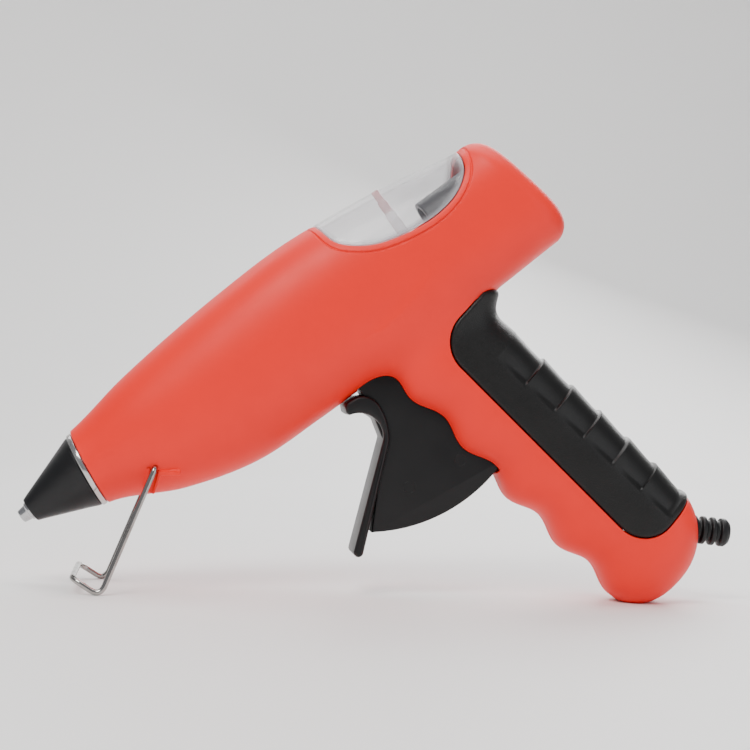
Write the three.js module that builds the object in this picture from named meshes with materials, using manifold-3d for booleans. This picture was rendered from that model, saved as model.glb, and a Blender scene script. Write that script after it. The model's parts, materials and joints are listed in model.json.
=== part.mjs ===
// A hot-melt glue gun on its wire stand, in millimetres, +Z up.
// The gun is drawn in its own frame: u runs back along the barrel from the nozzle's mouth, y is
// across, and w is square to the barrel, up. The group "gun" then tips it onto its stand.
import * as THREE from "three";
import { mergeVertices } from "three/addons/utils/BufferGeometryUtils.js";
import Module from "manifold-3d";

const wasm = await Module();
wasm.setup();

// ---- Driving dimensions ----------------------------------------------------------------------

const GAP = 0.3; // between two pieces that touch
const WALL = 2.4; // casing

const RIM_U = 28.6; // casing's front rim, on the barrel's axis
const BODY_LENGTH = 178.4; // rim to rear face
const BODY_WIDTH = 45;
const RIM_RADIUS = 13.8;
const RIM_TILT = 7.3; // degrees, rim leans forward at the bottom
const REAR_TILT = 12.3; // degrees, rear face leans back at the bottom
const REAR_ROUND = 8; // radius of the rear face's edges

const HANDLE_LENGTH = 123.5; // from the casing's underside to the butt
const HANDLE_WIDTH = 34;
const HANDLE_TILT = 9.3; // degrees from square to the barrel
const FINGER_PITCH = 24.7;
const FINGER_DEPTH = 1.75;

const PAD_THICKNESS = 3;
const PAD_TOP = 1.2; // down the handle
const PAD_BOTTOM = 104;
const PAD_CORNER = 12;

const STICK_RADIUS = 6; // channel for 11 mm sticks
const TUBE_WALL = 1.8;
const TUBE_LENGTH = 34;
const WINDOW_LENGTH = 55;
const WINDOW_THICKNESS = 2;
const WINDOW_BACK = 12.6; // from the rear face to the window's back edge
const POST_RADIUS = 2;
const POST_AHEAD = 44.5; // from the rear face
const POST_LOW = 1.6; // foot above the barrel's axis

const NOZZLE_MOUTH = 2.35; // radius outside
const NOZZLE_BORE = 0.9;
const NOZZLE_HEX = 7.5;
const CHAMBER_SETBACK = 2.6; // behind the rim
const CHAMBER_LENGTH = 60;
const CHAMBER_RADIUS = 9;
const SLEEVE_WALL = 2;

const PIVOT_U = 80.6; // trigger's pivot, ahead of the rear face
const PIVOT_W = -27;
const PIN_RADIUS = 2;
const HUB_RADIUS = 5.4;
const TRIGGER_TRAVEL = 28; // degrees
const ARM_LENGTH = 14;
const WEB_RADIUS = 58.2;
const WEB_WIDTH = 15;
const BLADE_WIDTH = 21;
const BLADE_THICKNESS = 3.4;
const FEED_PIN_RADIUS = 1.5;
const CARRIAGE_LENGTH = 22;
const CARRIAGE_LEAD = 8; // carriage's front edge, ahead of its pin

const WIRE_RADIUS = 1;
const STAND_U = 18.5; // stand's pivot, behind the rim
const STAND_W = -12.6;
const STAND_REACH = 16.3; // foot ahead of the pivot, along the table
const STAND_TOE = 11;
const STAND_PIVOT_Y = 17.6;
const STAND_FOOT_Y = 24;
const BARREL_TILT = 38.3; // degrees, barrel above the table
const BUTT_FLAT = 0.7; // depth of the small flat under the butt

const BOOT_RADIUS = 5;
const BOOT_LENGTH = 17;
const BOOT_RIBS = 4;
const FLANGE_RADIUS = 6.9;
const FLANGE_THICKNESS = 2.5;
const BOOT_TILT = -43.5; // degrees in the gun's frame

const SCREW_RADIUS = 1.5;
const SCREW_HEAD = 2.9;
const SCREW_LENGTH = 16;

// ---- Places worked out from them ----------------------------------------------------------------

const radians = THREE.MathUtils.degToRad;
const REAR_U = RIM_U + BODY_LENGTH;
const HALF_WIDTH = BODY_WIDTH / 2;
const HALF_HANDLE = HANDLE_WIDTH / 2;
const PIVOT = new THREE.Vector2(REAR_U - PIVOT_U, PIVOT_W);
const HANDLE_ROOT = new THREE.Vector2(PIVOT.x + 23.6, -33);
const DOWN = new THREE.Vector2(Math.sin(radians(HANDLE_TILT)), -Math.cos(radians(HANDLE_TILT)));
const BACK = new THREE.Vector2(-DOWN.y, DOWN.x);
const STAND = new THREE.Vector2(RIM_U + STAND_U, STAND_W);
const STROKE = 2 * ARM_LENGTH * Math.sin(radians(TRIGGER_TRAVEL / 2));
const TUBE_RADIUS = STICK_RADIUS + TUBE_WALL;
const CHAMBER_START = RIM_U + CHAMBER_SETBACK;
const CHAMBER_END = CHAMBER_START + CHAMBER_LENGTH;
const FEED_PIN = new THREE.Vector2(0, ARM_LENGTH)
  .rotateAround(new THREE.Vector2(), radians(-TRIGGER_TRAVEL / 2))
  .add(PIVOT);
const CARRIAGE_U = FEED_PIN.x - CARRIAGE_LEAD;

// ---- Solids ---------------------------------------------------------------------------------------

const v2 = (x, y) => new THREE.Vector2(x, y);
const v3 = (x, y, z) => new THREE.Vector3(x, y, z);
const handlePoint = (down, back) =>
  HANDLE_ROOT.clone().addScaledVector(DOWN, down).addScaledVector(BACK, back);

// A closed geometry as a solid that can be cut and joined.
function solidOf(geometry) {
  const bare = new THREE.BufferGeometry().setAttribute("position", geometry.getAttribute("position"));
  if (geometry.index) bare.setIndex(geometry.index);
  const merged = mergeVertices(bare, 1e-4);
  const corners = [];
  for (let i = 0; i < merged.index.count; i += 3) {
    const [a, b, c] = [0, 1, 2].map((k) => merged.index.getX(i + k));
    if (a !== b && b !== c && c !== a) corners.push(a, b, c);
  }
  return new wasm.Manifold(
    new wasm.Mesh({
      numProp: 3,
      vertProperties: merged.attributes.position.array,
      triVerts: new Uint32Array(corners),
    }),
  );
}

const joined = (...solids) => solids.reduce((all, next) => all.add(next));
const cut = (solid, ...tools) => tools.reduce((left, tool) => left.subtract(tool), solid);

// An outline in u and w, made thick from y0 to y1.
function plate(outline, y0, y1, curveSegments = 8) {
  const shape = Array.isArray(outline) ? new THREE.Shape(outline) : outline;
  const geometry = new THREE.ExtrudeGeometry(shape, {
    depth: y1 - y0,
    bevelEnabled: false,
    curveSegments,
  });
  return solidOf(geometry.rotateX(Math.PI / 2).translate(0, y1, 0));
}

// A cylinder across the gun, from y0 to y1.
function crossPin(place, radius, y0, y1, sides = 16) {
  const geometry = new THREE.CylinderGeometry(radius, radius, y1 - y0, sides);
  return solidOf(geometry.translate(place.x, (y0 + y1) / 2, place.y));
}

// A solid of revolution about the barrel's axis; the profile holds [u, radius].
function turned(profile, sides = 24) {
  const points = profile.map(([u, radius]) => v2(radius, u));
  if (THREE.ShapeUtils.isClockWise(points)) points.reverse();
  return solidOf(new THREE.LatheGeometry([...points, points[0]], sides).rotateZ(-Math.PI / 2));
}

const ring = (u0, u1, inner, outer, sides) =>
  turned([[u0, inner], [u1, inner], [u1, outer], [u0, outer]], sides);
const rod = (u0, u1, radius, sides) => turned([[u0, 0], [u1, 0], [u1, radius], [u0, radius]], sides);

function block(u0, u1, y0, y1, w0, w1) {
  const geometry = new THREE.BoxGeometry(u1 - u0, y1 - y0, w1 - w0);
  return solidOf(geometry.translate((u0 + u1) / 2, (y0 + y1) / 2, (w0 + w1) / 2));
}

// A round wire along a curve.
function wire(curve, radius, steps, sides = 8) {
  const section = new THREE.Shape(
    Array.from({ length: sides }, (_, i) => v2(radius, 0).rotateAround(v2(0, 0), (2 * Math.PI * i) / sides)),
  );
  return solidOf(new THREE.ExtrudeGeometry(section, { steps, bevelEnabled: false, extrudePath: curve }));
}

// A skin through a row of stations, each an oval between two points of the side outline.
function loft(stations, around) {
  const geometry = new THREE.CylinderGeometry(1, 1, 1, around, stations.length - 1);
  const place = geometry.getAttribute("position");
  for (let i = 0; i < place.count; i += 1) {
    const row = stations[Math.round((0.5 - place.getY(i)) * (stations.length - 1))];
    const bulge = (s) => Math.sign(s) * Math.abs(s) ** (2 / row.power);
    const share = (1 + bulge(place.getZ(i))) / 2;
    const point = row.low.clone().lerp(row.high, share);
    place.setXYZ(i, point.x, row.half * bulge(place.getX(i)), point.y);
  }
  return solidOf(geometry);
}

// The same station with its oval drawn in all round, and moved along the gun.
function drawnIn(row, inset, move = v2(0, 0)) {
  const step = row.high.clone().sub(row.low).setLength(inset);
  return {
    high: row.high.clone().sub(step).add(move),
    low: row.low.clone().add(step).add(move),
    half: row.half - inset,
    power: row.power,
  };
}

// ---- Casing ----------------------------------------------------------------------------------------

// Side outlines above and below the axis, and half width as a share of the greatest, each at even
// steps from the front rim to the rear face.
const evenly = (...heights) => new THREE.SplineCurve(heights.map((height, i) => v2(i, height)));
const TOP_LINE = evenly(13.9, 18.1, 20.8, 22.55, 23.3, 21.6, 18.6, 14.2);
const LOW_LINE = evenly(-13.6, -25, -32.1, -33.1, -33, -33, -33, -32);
const PLAN_LINE = evenly(0.62, 0.84, 0.95, 1, 1, 0.98, 0.94, 0.88);
const BODY_STEPS = 9;

function bodyStations() {
  const slope = (share) =>
    THREE.MathUtils.lerp(Math.tan(radians(RIM_TILT)), -Math.tan(radians(REAR_TILT)), share);
  const rearBase = BODY_LENGTH - REAR_ROUND / Math.cos(radians(REAR_TILT));
  return Array.from({ length: BODY_STEPS + 1 }, (_, i) => {
    const share = i / BODY_STEPS;
    const [top, low, plan] = [TOP_LINE, LOW_LINE, PLAN_LINE].map((curve) => curve.getPoint(share).y);
    const u = RIM_U + share * rearBase;
    return {
      high: v2(u + slope(share) * top, top),
      low: v2(u + slope(share) * low, low),
      half: share ? HALF_WIDTH * plan : RIM_RADIUS,
      power: THREE.MathUtils.lerp(2, 2.9, share),
    };
  });
}

const REAR_NORMAL = v2(Math.cos(radians(REAR_TILT)), Math.sin(radians(REAR_TILT)));

function rearClosing(last, inset, round) {
  return [30, 60, 90].map((angle) =>
    drawnIn(
      last,
      inset + round * (1 - Math.cos(radians(angle))),
      REAR_NORMAL.clone().multiplyScalar(round * Math.sin(radians(angle))),
    ),
  );
}

function bodyLoft(inset, around = 20) {
  const rows = bodyStations().map((row) => drawnIn(row, inset));
  const last = bodyStations()[BODY_STEPS];
  const front = inset ? [drawnIn(bodyStations()[0], inset, v2(-8, 0))] : [];
  return loft([...front, ...rows, ...rearClosing(last, inset, REAR_ROUND - inset)], around);
}

// The handle's front has a wave for each finger; its back is a long gentle bow.
const handleFront = (down) =>
  -20.6 + 0.03 * (down - 10) - FINGER_DEPTH * Math.cos((2 * Math.PI * (down - 9.5)) / FINGER_PITCH);
const handleBack = (down) => 20.6 + 0.078 * down - 0.00035 * down * down;
const FRONT_END = 13; // length of the butt's rounding in front, behind and at the sides
const BACK_END = 24;
const SIDE_END = 17;
const HANDLE_POWER = 2.5; // of its oval sections
const HANDLE_ABOVE = 16; // it starts this far inside the body
const CLOSING = 14; // length over which its last sections crowd together
const LEAST = 0.1; // half size of its last section
const quarter = (over, length) => Math.sqrt(Math.max(0, 1 - (over / length) ** 2));

// Oval section of the handle at a distance down it.
function handleStation(down) {
  const closed = (size) => quarter(Math.max(0, down - (HANDLE_LENGTH - size)), size);
  const front = handleFront(Math.min(down, HANDLE_LENGTH - FRONT_END)) * closed(FRONT_END);
  const back = handleBack(Math.min(down, HANDLE_LENGTH - BACK_END)) * closed(BACK_END);
  return {
    high: handlePoint(down, Math.max(back, LEAST)),
    low: handlePoint(down, Math.min(front, -LEAST)),
    half: Math.max(HALF_HANDLE * closed(SIDE_END), LEAST),
    power: HANDLE_POWER,
  };
}

// The handle, drawn in all round by an inset; a negative inset draws it out.
function handleLoft(inset, around = 16, straightRows = 17) {
  const room = inset ? 2 * GAP : 0;
  const end = HANDLE_LENGTH - inset - room;
  const step = (end - CLOSING + HANDLE_ABOVE) / (straightRows - 1);
  const straight = Array.from({ length: straightRows }, (_, i) => i * step - HANDLE_ABOVE);
  const closing = [0.4, 0.7, 0.9, 1].map((share) => end - CLOSING * (1 - share));
  const rows = [...straight, ...closing].map((down) => {
    const row = handleStation(Math.min(down, HANDLE_LENGTH));
    const reach = row.high.distanceTo(row.low) / 2 - 4 * LEAST;
    return drawnIn(row, Math.min(inset, reach, row.half - 2 * LEAST));
  });
  return loft(rows, around);
}

// The window's bowl: share of its length from the front, and height above the barrel's axis.
const BOWL = [
  v2(0.03, 13), v2(0.18, 6), v2(0.38, 2.3), v2(0.6, 0.9), v2(0.79, 2.6), v2(0.93, 7.4), v2(1, 14),
];
const BOWL_FRONT = 21; // height of its front edge
const BOWL_TOP = 26; // above the body's highest point

// Side outline of the window: a long bowl open at the top.
function windowOutline(margin) {
  const back = REAR_U - WINDOW_BACK + margin;
  const front = back - WINDOW_LENGTH - 2 * margin;
  const shape = new THREE.Shape();
  shape.moveTo(front, BOWL_TOP);
  shape.lineTo(front, BOWL_FRONT - margin);
  shape.splineThru(BOWL.map((place) => v2(front + place.x * (back - front), place.y - margin)));
  shape.lineTo(back, BOWL_TOP);
  return shape;
}

// Side outline of the grip pad: straight front edge, round corners, out past the handle's back.
function padOutline(margin) {
  const [top, bottom, front, out] = [PAD_TOP - margin, PAD_BOTTOM + margin, -1.5 - margin, 40];
  const corner = PAD_CORNER + margin;
  const at = (down, back) => handlePoint(down, back);
  const arc = (down, back, from) =>
    [0, 22.5, 45, 67.5, 90].map((turn) => {
      const angle = radians(from + turn);
      return at(down - corner * Math.sin(angle), back + corner * Math.cos(angle));
    });
  return [
    at(top, out),
    ...arc(top + corner, front + corner, 90),
    ...arc(bottom - corner, front + corner, 180),
    at(bottom, out),
  ];
}

// Casing screws: place, and which part of the casing they hold.
const SCREWS = [
  v2(62, 13.6),
  v2(66, -24.4),
  v2(118, 17.6),
  v2(REAR_U - 49, -26),
  v2(REAR_U - 12, -22),
  handlePoint(60, -8.5),
  handlePoint(109, -9),
];

const BOOT_SEAT = handlePoint(109.5, 14.2);

function bootFrame(solid) {
  return solid.rotate([0, -BOOT_TILT, 0]).translate([BOOT_SEAT.x, 0, BOOT_SEAT.y]);
}

// Everything that the casing leaves open.
function casingCuts() {
  const clear = GAP + 0.4;
  const slot = new THREE.Shape();
  slot.moveTo(-8.2, 4);
  slot.lineTo(-8.2, -14);
  slot.absarc(0, 0, WEB_RADIUS + clear, radians(262), radians(293 + TRIGGER_TRAVEL), false);
  slot.lineTo(9, 4);
  const slotPlate = plate(slot, -WEB_WIDTH / 2 - clear, WEB_WIDTH / 2 + clear).translate([PIVOT.x, 0, PIVOT.y]);
  const inlet = rod(REAR_U - 30, REAR_U + 12, TUBE_RADIUS + GAP);
  const window = plate(windowOutline(GAP), -HALF_WIDTH - 2, HALF_WIDTH + 2);
  const pinHole = crossPin(PIVOT, PIN_RADIUS + GAP, -15.3, 15.3);
  return [slotPlate, inlet, window, pinHole, standRecess(1), standRecess(-1), bootBore()];
}

function bootBore() {
  const outer = rod(-1.2, 30, FLANGE_RADIUS + GAP);
  const stem = rod(-12, 2, BOOT_RADIUS - 1 + GAP);
  return bootFrame(joined(outer, stem));
}

// Fan-shaped slot that the stand's leg swings in, and the hole for its inner end.
function standRecess(side) {
  const outline = new THREE.Shape();
  outline.moveTo(-2.2, 1.9);
  outline.lineTo(2.2, 1.9);
  outline.lineTo(12.5, -5.5);
  outline.lineTo(9, -14);
  outline.lineTo(-9, -14);
  outline.lineTo(-13.5, -6.5);
  const room = WIRE_RADIUS + GAP + 0.2;
  const fan = plate(outline, -STAND_PIVOT_Y - room - 1.2, -STAND_PIVOT_Y + room).translate([STAND.x, 0, STAND.y]);
  const hole = crossPin(STAND, WIRE_RADIUS + GAP, -STAND_PIVOT_Y, -STAND_PIVOT_Y + 8);
  const recess = fan.add(hole);
  return side > 0 ? recess.mirror([0, 1, 0]) : recess;
}

// Raised angle over the stand's pivot, with an arm over each place of the leg.
function standBracket(side) {
  const outline = [v2(-0.5, 3.4), v2(3, 1.6), v2(8.4, -3.4), v2(5.2, -7.2), v2(0, -3.2), v2(-5.6, -7.2), v2(-7.6, -3.6)];
  const body = plate(outline, -STAND_PIVOT_Y - WIRE_RADIUS - GAP - 2.8, -HALF_WIDTH / 2).translate([STAND.x, 0, STAND.y]);
  return side > 0 ? body.mirror([0, 1, 0]) : body;
}

function casing() {
  const padRegion = plate(padOutline(GAP), -HALF_WIDTH, HALF_WIDTH);
  const padBacking = plate(padOutline(WALL), -HALF_WIDTH, HALF_WIDTH);
  const outside = joined(bodyLoft(0), handleLoft(0), standBracket(1), standBracket(-1));
  const handleHollow = handleLoft(WALL, 12, 7).subtract(padBacking);
  const deepHollow = handleLoft(PAD_THICKNESS + GAP + WALL, 10, 6);
  const hollow = joined(bodyLoft(WALL, 14), handleHollow, deepHollow);
  const padSeat = handleLoft(-5, 12, 8).subtract(handleLoft(PAD_THICKNESS + GAP, 14, 8)).intersect(padRegion);
  const bosses = SCREWS.map((place) => crossPin(place, SCREW_HEAD + 1.2, -HALF_WIDTH, HALF_WIDTH, 8));
  const postStart = WEB_WIDTH / 2 + 1;
  const posts = joined(...bosses, crossPin(PIVOT, PIN_RADIUS + 2.4, -HALF_WIDTH, -postStart),
    crossPin(PIVOT, PIN_RADIUS + 2.4, postStart, HALF_WIDTH), tubeSaddle(), clampPosts());
  const shell = outside.subtract(hollow).add(outside.intersect(posts));
  return cut(shell, padSeat.subtract(bodyLoft(0)), belowTable(), ...casingCuts());
}

// Web under the guide tube that carries it in the casing.
function tubeSaddle() {
  const [u, half, wide, low, high] = [REAR_U - 20, 1.5, 12, -32, 2];
  return block(u - half, u + half, -wide, wide, low, high);
}

function housings() {
  const whole = casing();
  const big = 2 * BODY_WIDTH;
  const half = (y0, y1) => block(-20, REAR_U + 40, y0, y1, -220, 60);
  const head = (place) => crossPin(place, SCREW_HEAD + GAP, 8, big, 10);
  const thread = (place) => crossPin(place, SCREW_RADIUS + GAP, 8 - SCREW_LENGTH - GAP, 9, 8);
  const wells = SCREWS.map((place) => joined(head(place), thread(place)));
  return {
    left: cut(whole.intersect(half(-big, -GAP / 2)), ...wells),
    right: cut(whole.intersect(half(GAP / 2, big)), ...wells),
  };
}

const largest = (solid) => solid.decompose().sort((a, b) => b.volume() - a.volume())[0];

// Clear post that hangs from the cover beside the stick's way.
function coverPost() {
  const side = -STICK_RADIUS - TUBE_WALL - POST_RADIUS;
  const [low, high] = [POST_LOW, BODY_WIDTH / 2];
  const post = new THREE.CylinderGeometry(POST_RADIUS, POST_RADIUS, high - low, 12).rotateX(Math.PI / 2);
  return solidOf(post.translate(REAR_U - POST_AHEAD, side, (low + high) / 2));
}

function windowCover() {
  const skin = bodyLoft(0).subtract(bodyLoft(WINDOW_THICKNESS));
  const shell = skin.intersect(plate(windowOutline(0), -HALF_WIDTH - 1, HALF_WIDTH + 1));
  return joined(shell, coverPost().intersect(bodyLoft(WINDOW_THICKNESS / 2)));
}

function gripPad() {
  const skin = handleLoft(0).subtract(handleLoft(PAD_THICKNESS, 14, 8));
  const shell = skin.intersect(plate(padOutline(0), -HALF_WIDTH, HALF_WIDTH));
  const horn = plate(
    [handlePoint(2.2, 16), handlePoint(3.2, 22.5), handlePoint(7.9, 27.2), handlePoint(10, 24.4),
      handlePoint(16, 20.9), handlePoint(16, 18.6)],
    -8, 8,
  );
  return largest(joined(shell, horn).subtract(handleLoft(PAD_THICKNESS, 14, 8)).subtract(bodyLoft(-GAP)));
}

// ---- Nozzle and heater --------------------------------------------------------------------------

const SEAT_U = 14; // valve seat
const SPIGOT_RADIUS = 5;
const SOCKET_DEPTH = 6;
const VALVE_BORE = 3.4;
const BALL_RADIUS = 2.6;
const BALL_U = SEAT_U + 1.1;
const HEATER_SETBACK = 19.5; // behind the chamber's front
const HEATER_LENGTH = 26;
const HEATER_WIDTH = 12;
const HEATER_THICKNESS = 3.5;
const HEATER_LOW = -13.8;
const POCKET_WALL = 1.8;
const CLIP_THICKNESS = 0.6;

// Everything behind a plane across the barrel that leans by the given angle.
const behind = (u, tilt) => block(0, 80, -60, 60, -60, 60).rotate([0, tilt, 0]).translate([u, 0, 0]);

function nozzle() {
  const end = CHAMBER_START + SOCKET_DEPTH - GAP;
  return turned([
    [0, NOZZLE_BORE], [SEAT_U - 2, NOZZLE_BORE], [SEAT_U, VALVE_BORE], [end, VALVE_BORE],
    [end, SPIGOT_RADIUS], [CHAMBER_START - GAP, SPIGOT_RADIUS], [CHAMBER_START - GAP, NOZZLE_HEX],
    [21, NOZZLE_HEX], [17, 5.2], [4, 3.4], [0, NOZZLE_MOUTH],
  ]);
}

function nozzleCover() {
  const end = RIM_U - 2.2;
  const lining = NOZZLE_HEX + GAP;
  const cone = turned([
    [4, 3.4 + GAP], [17, 5.2 + GAP], [20.6, lining], [end + 6, lining],
    [end + 6, RIM_RADIUS - 1], [end, RIM_RADIUS - 1], [4, 4.3],
  ], 32);
  return cone.subtract(behind(end, RIM_TILT));
}

function frontCollar() {
  const band = ring(-0.8, 0.8, NOZZLE_HEX + 1.2, RIM_RADIUS - 0.4, 32);
  return band.rotate([0, RIM_TILT, 0]).translate([RIM_U - 1.1, 0, 0]);
}

function meltChamber() {
  const [start, end] = [CHAMBER_START, CHAMBER_END];
  const neck = CHAMBER_RADIUS - 1.2;
  const barrel = turned([
    [start, SPIGOT_RADIUS + GAP], [start + SOCKET_DEPTH, SPIGOT_RADIUS + GAP], [start + SOCKET_DEPTH, 2.2],
    [start + 9, 2.2], [start + 24, STICK_RADIUS - 0.2], [end, STICK_RADIUS - 0.2],
    [end, neck], [end - 8, neck], [end - 8, CHAMBER_RADIUS], [start, CHAMBER_RADIUS],
  ]);
  const side = HEATER_WIDTH / 2 + GAP;
  const room = rod(0, REAR_U, CHAMBER_RADIUS - 1);
  const pocket = block(start + HEATER_SETBACK - 2, end - 14, -side - POCKET_WALL, side + POCKET_WALL, HEATER_LOW - 2.4, -4);
  const slot = block(start + HEATER_SETBACK, end - 13, -side, side, HEATER_LOW - GAP, HEATER_LOW + HEATER_THICKNESS + GAP);
  const heaterPocket = pocket.subtract(room).intersect(bodyLoft(WALL + GAP, 14));
  return joined(barrel, heaterPocket).subtract(slot);
}

function heater() {
  const u = CHAMBER_START + HEATER_SETBACK + GAP;
  const side = HEATER_WIDTH / 2;
  return block(u, u + HEATER_LENGTH, -side, side, HEATER_LOW, HEATER_LOW + HEATER_THICKNESS);
}

function heaterClip() {
  const u = CHAMBER_START + 28;
  const side = HEATER_WIDTH / 2 + 2 * GAP + POCKET_WALL;
  const floor = HEATER_LOW - 2.4 - GAP;
  const outer = block(u, u + 10, -side - CLIP_THICKNESS, side + CLIP_THICKNESS, floor - CLIP_THICKNESS, -9.5);
  return outer.subtract(block(u - 1, u + 11, -side, side, floor, 0));
}

// Insulating plate round the chamber, shaped to the inside of the casing, with a way for the leads.
function chamberSupport(u) {
  const slab = block(u - 1.5, u + 1.5, -HALF_WIDTH, HALF_WIDTH, -18, 20);
  const leadWay = block(u - 5, u + 5, -7, 7, -19, -8);
  return cut(slab.intersect(bodyLoft(WALL + GAP, 14)), rod(u - 5, u + 5, CHAMBER_RADIUS + GAP), leadWay);
}

const SLEEVE_END = CARRIAGE_U - STROKE - 1;
const SLEEVE_OVER = CHAMBER_RADIUS - 1.2 + GAP; // where it grips the chamber's neck

function inletSleeve() {
  const bore = STICK_RADIUS + 0.2;
  return turned([
    [CHAMBER_END - 7.6, SLEEVE_OVER], [CHAMBER_END + GAP, SLEEVE_OVER], [CHAMBER_END + GAP, bore],
    [SLEEVE_END, bore], [SLEEVE_END, bore + SLEEVE_WALL], [CHAMBER_END + 4, bore + SLEEVE_WALL],
    [CHAMBER_END + 1, SLEEVE_OVER + SLEEVE_WALL], [CHAMBER_END - 7.6, SLEEVE_OVER + SLEEVE_WALL],
  ]);
}

const sleeveClamp = () =>
  ring(CHAMBER_END - 5.5, CHAMBER_END - 2, SLEEVE_OVER + SLEEVE_WALL + GAP, SLEEVE_OVER + SLEEVE_WALL + 1.2, 24);

function guideTube() {
  const tube = ring(REAR_U - TUBE_LENGTH, REAR_U + 8, STICK_RADIUS, TUBE_RADIUS, 28);
  return tube.subtract(behind(REAR_U + 0.8, -REAR_TILT));
}

// ---- Feed ---------------------------------------------------------------------------------------

const LUG_INNER = 3.4;
const LUG_OUTER = 6.4;
const CARRIAGE_RADIUS = 9;
const LEVER_PIN = v2(CARRIAGE_U + 17.2, -11.4);
const LEVER_PIN_RADIUS = 1;

function carriageLug(y0, y1) {
  const arm = block(FEED_PIN.x - 4.2, FEED_PIN.x + 4.2, y0, y1, FEED_PIN.y - 4.6, -5.2);
  const across = FEED_PIN_RADIUS + GAP;
  const slot = block(FEED_PIN.x - across, FEED_PIN.x + across, y0 - 1, y1 + 1,
    FEED_PIN.y - FEED_PIN_RADIUS - 1, FEED_PIN.y + FEED_PIN_RADIUS + 1.4);
  return cut(arm, slot);
}

function feedCarriage() {
  const bore = STICK_RADIUS + 0.2;
  const sleeve = ring(CARRIAGE_U, CARRIAGE_U + CARRIAGE_LENGTH, bore, CARRIAGE_RADIUS);
  const ears = block(LEVER_PIN.x - 5.4, LEVER_PIN.x + 3.6, -4.4, 4.4, -14.2, -7.5);
  const leverSlot = block(LEVER_PIN.x - 5, LEVER_PIN.x + 6, -2.3, 2.3, -16, -3);
  return cut(
    joined(sleeve, carriageLug(-LUG_OUTER, -LUG_INNER), carriageLug(LUG_INNER, LUG_OUTER), ears),
    rod(CARRIAGE_U - 20, CARRIAGE_U + 40, bore),
    leverSlot,
    crossPin(LEVER_PIN, LEVER_PIN_RADIUS + GAP, -6, 6, 12),
  );
}

// Toothed cam that bites the stick, about its own pin.
function clampLever() {
  const outline = [
    v2(-3.2, -1), v2(-1, -2.2), v2(1.5, -2), v2(3, 1), v2(1.2, 5), v2(0.2, 4), v2(-0.8, 5), v2(-2.4, 4),
  ];
  return plate(outline, -2, 2).subtract(crossPin(v2(0, 0), LEVER_PIN_RADIUS + GAP, -5, 5, 12));
}

// ---- Trigger --------------------------------------------------------------------------------------

const HUB_WELL_Y = 3.4; // floor of the hub's well for the spring
const SPRING_RADIUS = 3.3;
const SPRING_WIRE = 0.5;
const BLADE_LOW = v2(-40.9, -50.4); // middle of the blade's round lower edge, from the pivot
const BLADE_HIGH = v2(-10.9, -24.6); // where the straight blade meets the hook's curve

// The blade and its hook, seen from the side, from the pivot.
function triggerBlade() {
  const along = BLADE_HIGH.clone().sub(BLADE_LOW).normalize();
  const out = v2(-along.y, along.x).multiplyScalar(BLADE_THICKNESS / 2);
  const turn = out.angle();
  const hook = v2(-17.4, -18.6); // middle of the hook's hollow
  const shape = new THREE.Shape();
  shape.absarc(BLADE_LOW.x, BLADE_LOW.y, BLADE_THICKNESS / 2, turn, turn + Math.PI, false);
  shape.lineTo(BLADE_HIGH.x - out.x, BLADE_HIGH.y - out.y);
  shape.quadraticCurveTo(-5.2, -19.4, -5.4, -13);
  shape.quadraticCurveTo(-6.2, -7.4, -11.2, -6.6);
  shape.lineTo(-15, -6.4);
  shape.lineTo(-16.2, -9.2);
  shape.absarc(hook.x, hook.y, 8.2, radians(75), radians(-42), true);
  return plate(shape, -BLADE_WIDTH / 2, BLADE_WIDTH / 2, 6);
}

function triggerWeb() {
  const from = Math.PI + Math.acos(33.2 / WEB_RADIUS);
  const shape = new THREE.Shape();
  shape.moveTo(-7.4, -4);
  shape.lineTo(-8.6, -14);
  shape.lineTo(-11.5, -25);
  shape.absarc(0, 0, WEB_RADIUS, from, radians(290), false);
  shape.lineTo(5, -4);
  return plate(shape, -WEB_WIDTH / 2, WEB_WIDTH / 2, 10);
}

function triggerHollow() {
  const outline = [v2(-6, -22), v2(-26, -43), v2(-16, -53), v2(0, -55.8), v2(24, -58), v2(9, -14), v2(0, -14)];
  return plate(outline, 2 - WEB_WIDTH / 2, WEB_WIDTH / 2 - 2);
}

function trigger() {
  const tip = FEED_PIN.clone().sub(PIVOT);
  const hub = crossPin(v2(0, 0), HUB_RADIUS, -WEB_WIDTH / 2, WEB_WIDTH / 2);
  const arm = joined(
    plate([v2(-3, 0), v2(3, 0), v2(tip.x + 2.4, tip.y), v2(tip.x - 2.4, tip.y)], -3, 3),
    crossPin(tip, 3.2, -3, 3, 14),
  );
  return cut(
    joined(triggerBlade(), triggerWeb().subtract(triggerHollow()), hub, arm),
    crossPin(v2(0, 0), PIN_RADIUS + GAP, -20, 20),
    crossPin(tip, FEED_PIN_RADIUS + GAP, -20, 20, 12),
    crossPin(v2(0, 0), SPRING_RADIUS + SPRING_WIRE + GAP, HUB_WELL_Y, 20),
  );
}

// A round coil about the y axis.
class Coil extends THREE.Curve {
  constructor(radius, turns, length) {
    super();
    Object.assign(this, { radius, turns, length });
  }

  getPoint(t, target = new THREE.Vector3()) {
    const angle = 2 * Math.PI * this.turns * t;
    return target.set(this.radius * Math.cos(angle), this.length * t, this.radius * Math.sin(angle));
  }

  getLength() {
    return Math.hypot(2 * Math.PI * this.radius * this.turns, this.length);
  }
}

const coil = (radius, turns, length, wireRadius) =>
  wire(new Coil(radius, turns, length), wireRadius, Math.round(turns * 10), 5);

// ---- Stand ------------------------------------------------------------------------------------------

// The table's upward direction in the gun's frame, and how high along it a solid reaches down.
const UP = v2(Math.sin(radians(BARREL_TILT)), Math.cos(radians(BARREL_TILT)));

function lowest(solid) {
  const { vertProperties: place } = solid.getMesh();
  let low = Infinity;
  for (let i = 0; i < place.length; i += 3) low = Math.min(low, place[i] * UP.x + place[i + 2] * UP.y);
  return low;
}

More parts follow.
